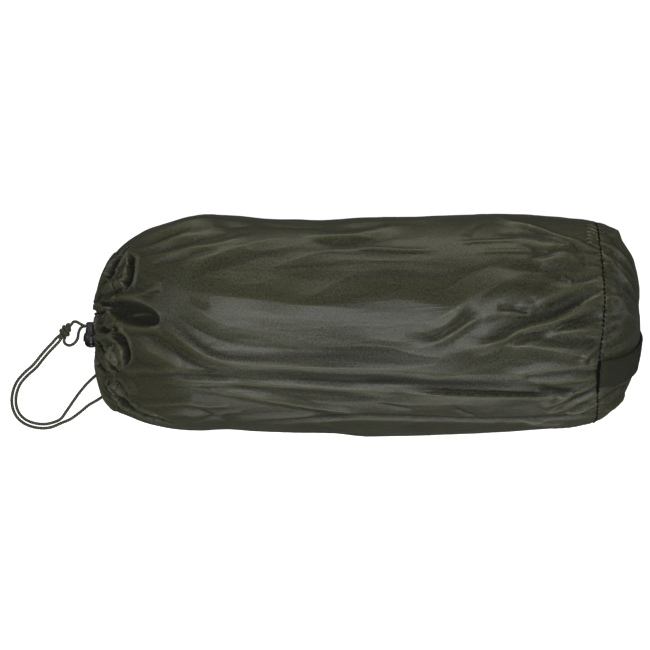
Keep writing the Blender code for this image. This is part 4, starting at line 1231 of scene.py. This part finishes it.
def slot_cutter():
    """Bar with round ends through the barrel, one strand over the other."""
    mesh = bmesh.new()
    steps = 32
    ends = []
    for x in (-9.0, 9.0):
        ring = []
        for k in range(steps):
            turn = TURN * k / steps
            y = CORD_HOLE_WIDTH / 2 * math.cos(turn)
            z = CORD_HOLE_WIDTH / 2 * math.sin(turn) + math.copysign(STRAND_RISE, math.sin(turn + 1e-6))
            ring.append(mesh.verts.new(Vector((LOCK_X + x, CORD_HOLE_Y + y, LOCK_Z + z)) * MM))
        ends.append(ring)
    for k in range(steps):
        n = (k + 1) % steps
        mesh.faces.new((ends[0][k], ends[0][n], ends[1][n], ends[1][k]))
    mesh.faces.new(ends[0])
    mesh.faces.new(ends[1])
    bmesh.ops.recalc_face_normals(mesh, faces=mesh.faces)
    data = bpy.data.meshes.new("slot_cutter")
    mesh.to_mesh(data)
    mesh.free()
    obj = bpy.data.objects.new("slot_cutter", data)
    bpy.context.scene.collection.objects.link(obj)
    return obj


def make_lock(barrel_material, button_material):
    barrel = turned_mesh("lock_barrel_shell", BARREL_PROFILE, barrel_material)
    button = turned_mesh("lock_button_cap", BUTTON_PROFILE, button_material)
    cutter = slot_cutter()
    cut = barrel.modifiers.new("slot", "BOOLEAN")
    cut.operation, cut.object = "DIFFERENCE", cutter
    bpy.context.view_layer.update()
    done = bpy.data.meshes.new_from_object(barrel.evaluated_get(bpy.context.evaluated_depsgraph_get()))
    barrel.modifiers.clear()
    barrel.data = done
    bpy.data.objects.remove(cutter, do_unlink=True)
    finished(barrel, "sack", "lock_barrel", "lock_barrel")
    finished(button, "button", "lock_button", "lock_button")
    return barrel, button


# ---- drawcord ------------------------------------------------------------------------------------
LOOP_A = (
    (-235.1, -1.3, 8.95), (-240.0, -1.3, 8.95), (-244.6, -1.3, 8.95), (-249.2, -1.3, 8.95),
    (-252.8, 0.4, 8.1), (-256.2, 2.3, 6.5), (-258.8, 2.5, 5.4), (-260.1, 1.3, 4.8),
)
LOOP_B = (
    (-233.2, -1.3, 5.85), (-239.2, -1.3, 5.85), (-244.2, -1.3, 5.85), (-249.2, -1.3, 5.85),
    (-252.9, -3.3, 5.0), (-254.8, -7.6, 3.4), (-255.6, -12.2, 2.1), (-258.4, -16.4, 1.6),
    (-262.4, -18.4, 1.8), (-265.6, -17.6, 2.7), (-267.4, -15.3, 3.7),
)
KNOT_A = ((-263.2, -2.6, 4.4), (-267.6, -7.2, 3.6))
KNOT_B = ((-266.9, -11.4, 4.2), (-265.2, -7.6, 4.6), (-266.6, -5.4, 4.4), (-269.0, -8.0, 3.2))
TAIL_PAIR = (
    (-272.7, -13.0), (-276.8, -17.6), (-281.8, -22.8), (-287.4, -29.4), (-293.6, -37.0),
    (-301.0, -43.6), (-307.6, -51.4), (-311.2, -60.8), (-311.6, -70.6), (-308.4, -79.4),
    (-302.2, -85.4), (-294.2, -88.6), (-285.6, -89.6), (-278.0, -88.4),
)
TAIL_A_END = (
    (-270.6, -83.2, 1.5), (-265.2, -76.0, 1.5), (-260.0, -68.4, 1.5), (-254.4, -60.6, 1.5),
    (-248.0, -52.8, 1.5), (-241.8, -46.8, 1.9), (-236.6, -42.2, 3.2), (-232.6, -39.0, 5.6),
    (-230.2, -37.0, 7.4),
)
TAIL_B_END = (
    (-269.8, -86.8, 1.5), (-261.6, -83.2, 1.5), (-253.6, -77.4, 1.5), (-245.8, -71.0, 1.5),
    (-238.6, -66.8, 1.5), (-232.0, -62.4, 1.8), (-226.2, -57.2, 3.0), (-221.0, -52.0, 5.2),
    (-216.1, -46.7, 7.6),
)
PAIR_GAP = 0.8
TAIL_LIFT = 1.5
BRAID_STEP = 0.42
BRAID_SIDES = 20
BRAID_PITCH = 2.3
BRAID_CARRIERS = 8
KNOT_MIDDLE = (-266.6, -6.2, 4.1)
KNOT_TURN = 48.0


def tail_route(side, end):
    """Strand beside the pair's middle line, then its own way back under the mouth."""
    pair = np.array(TAIL_PAIR)
    along = np.gradient(pair, axis=0)
    along /= np.linalg.norm(along, axis=1, keepdims=True)
    beside = np.column_stack([-along[:, 1], along[:, 0]])
    strand = pair + beside * side * (CORD_DIAMETER + PAIR_GAP) / 2
    lying = np.column_stack([strand, np.full(len(strand), TAIL_LIFT)])
    return np.vstack([lying, np.array(end)])


def braided_tube(name, route, diameter, material):
    """Braided round cord along a route: crossing yarns stand out of its round surface."""
    line = evenly_spaced(route, BRAID_STEP)
    run = run_lengths(line)
    tangents = np.gradient(line, axis=0)
    tangents /= np.linalg.norm(tangents, axis=1, keepdims=True)
    side = np.cross(tangents[0], (0, 0, 1.0))
    sides = []
    for tangent in tangents:
        side = side - tangent * (side @ tangent)
        side = side / np.linalg.norm(side)
        sides.append(side)
    sides = np.array(sides)
    ups = np.cross(sides, tangents)
    angle = np.arange(BRAID_SIDES) * TURN / BRAID_SIDES
    u = math.pi * run[:, None] / BRAID_PITCH
    v = BRAID_CARRIERS / 4 * angle[None, :]
    forward, backward = np.abs(np.cos(u + v)), np.abs(np.cos(u - v))
    over = smooth(0.5 + 1.6 * np.sin(2 * u) * np.sin(2 * v))
    height = over * forward + (1 - over) * backward
    radius = diameter / 2 - 0.24 + 0.30 * height
    points = line[:, None] + radius[:, :, None] * (
        np.cos(angle)[None, :, None] * sides[:, None] + np.sin(angle)[None, :, None] * ups[:, None])
    points[:, :, 2] = np.maximum(points[:, :, 2], 0.05)
    # the yarns' height goes to the crest attribute for the cord's painted shade in its gaps
    tube = grid_mesh(name, points, True, material, height**1.5, start_tip=line[0], end_tip=line[-1])
    smooth_faces_out(tube)
    return tube, line


def knot_line(phase):
    """One strand's turns round the knot, flattened to lie on the surface."""
    axis = np.array([math.cos(math.radians(KNOT_TURN)), math.sin(math.radians(KNOT_TURN)), 0])
    wide = np.array([-axis[1], axis[0], 0])
    points = []
    for share in np.linspace(0, 1, 27):
        turn = TURN * 1.55 * share + phase
        reach = math.sin(math.pi * share) ** 0.45
        along = (share - 0.5) * 12.6 + 1.4 * math.cos(turn)
        points.append(np.array(KNOT_MIDDLE) + axis * along + wide * 4.1 * reach * math.cos(turn)
                      + np.array([0, 0, 2.45 * reach * math.sin(turn)]))
    return np.array(points)


def make_cords(material, lock_pieces):
    turns = []
    for k, phase in enumerate((0.6, 0.6 + math.pi)):
        turn, _ = braided_tube(f"knot_turn_{k}", knot_line(phase), CORD_DIAMETER, material)
        turns.append(turn)
    joined = bmesh.new()
    for turn in turns:
        joined.from_mesh(turn.data)
    data = bpy.data.meshes.new("cord_knot_turns")
    joined.to_mesh(data)
    joined.free()
    data.polygons.foreach_set("use_smooth", [True] * len(data.polygons))
    for turn in turns:
        bpy.data.objects.remove(turn, do_unlink=True)
    knot = finished(add_object("cord_knot_turns", data, material), "sack", "cord", "cord_knot")
    for name, loop, inside, side, end, nodes, pieces in (
        ("drawcord_a", LOOP_A, KNOT_A, 1, TAIL_A_END, ("cord_loop_a", "cord_tail_a"), [knot, *lock_pieces]),
        ("drawcord_b", LOOP_B, KNOT_B, -1, TAIL_B_END, ("cord_loop_b", "cord_tail_b"), []),
    ):
        route = np.vstack([np.array(loop), np.array(inside), tail_route(side, end)])
        strand, line = braided_tube(name, route, CORD_DIAMETER, material)
        finished(strand, "sack", "cord", *nodes)


# ---- studio --------------------------------------------------------------------------------------
VIEW_MIDDLE = (-37.5, -0.4)       # mm, what the camera looks straight down on
VIEW_WIDTH = 567.5                # mm across the picture, at the height of the sack's outline
OUTLINE_HEIGHT = 80.0
CAMERA_DISTANCE = 8.0             # m
SENSOR = 36.0
# Strength of the white tent round the set, by height from the horizon (0) to overhead (1).
TENT_STRENGTHS = ((0.0, 0.08), (0.1, 0.16), (0.3, 0.14), (0.6, 0.05), (1.0, 0.05))
FLOOR_HALF = 30.0


def make_camera():
    data = bpy.data.cameras.new("camera")
    data.sensor_width = SENSOR
    data.lens = SENSOR * CAMERA_DISTANCE / (VIEW_WIDTH * MM)
    data.clip_end = 100
    camera = bpy.data.objects.new("camera", data)
    bpy.context.scene.collection.objects.link(camera)
    camera.location = (VIEW_MIDDLE[0] * MM, VIEW_MIDDLE[1] * MM, CAMERA_DISTANCE + OUTLINE_HEIGHT * MM)
    bpy.context.scene.camera = camera


def add_light(name, place, target, size, power, colour=(1, 1, 1)):
    data = bpy.data.lights.new(name, "AREA")
    data.shape = "RECTANGLE"
    data.size, data.size_y = size
    data.energy = power
    data.color = colour
    light = bpy.data.objects.new(name, data)
    bpy.context.scene.collection.objects.link(light)
    light.location = place
    light.rotation_mode = "QUATERNION"
    light.rotation_quaternion = (Vector(target) - Vector(place)).to_track_quat("-Z", "Y")
    light.visible_camera = False


def make_studio():
    bpy.context.scene.view_settings.view_transform = "Standard"
    world = bpy.data.worlds.new("studio")
    bpy.context.scene.world = world
    world.use_nodes = True
    tree = world.node_tree
    place = add_node(tree, "TexCoord").outputs["Generated"]
    height = add_node(tree, "SeparateXYZ", {0: place}).outputs["Z"]
    stops = [(height_share, (strength,) * 3) for height_share, strength in TENT_STRENGTHS]
    tree.links.new(colour_ramp(tree, height, stops), tree.nodes["Background"].inputs["Color"])
    middle = (-0.02, 0, 0.08)
    add_light("main", (-0.1, -0.2, 2.0), middle, (1.2, 0.5), 24)
    add_light("upper strip", (-0.2, 1.9, 0.13), middle, (1.8, 0.2), 14, (1, 1, 0.8))
    add_light("lower strip", (0.2, -1.7, 0.3), middle, (1.8, 0.24), 12)
    add_light("right panel", (1.5, 0.3, 0.5), middle, (0.9, 1.4), 5)
    add_light("left panel", (-1.5, 0.4, 0.8), middle, (0.3, 0.9), 4)

    floor = bpy.data.meshes.new("floor")
    corners = [(x * FLOOR_HALF, y * FLOOR_HALF, 0) for x, y in ((-1, -1), (1, -1), (1, 1), (-1, 1))]
    floor.from_pydata(corners, [], [(0, 1, 2, 3)])
    material, tree, shader = new_material("pale_floor")
    shader.inputs["Base Color"].default_value = (0.93, 0.93, 0.93, 1)
    shader.inputs["Roughness"].default_value = 0.9
    shader.inputs["Emission Color"].default_value = (1, 1, 1, 1)
    shader.inputs["Emission Strength"].default_value = 0.9
    plane = add_object("floor", floor, material)
    plane.location.z = -0.0002
    # the pale floor doesn't light the cloth from below
    plane.visible_glossy = plane.visible_diffuse = False


# ---- build ---------------------------------------------------------------------------------------
def main():
    make_camera()
    dark = (0.009, 0.0093, 0.0045)
    cloth = cloth_material("olive_nylon", dark, (0.068, 0.070, 0.037), 0.38, 0.42, 0.03)
    end_cloth = cloth_material("olive_nylon_end", dark, (0.066, 0.068, 0.036), 0.38, 0.42, 0.03)
    angles = grid_angles()
    positions, sack = make_sack(angles, cloth)
    panel = make_panel(angles, end_cloth)
    make_strap(webbing_material())
    make_stitches(positions, sack, panel, thread_material())
    make_net(net_material())
    lock = make_lock(plastic_material("barrel_plastic", (0.012, 0.012, 0.014), 0.42),
                     plastic_material("button_plastic", (0.006, 0.006, 0.008), 0.30))
    make_cords(cord_material(), lock)
    make_studio()


main()
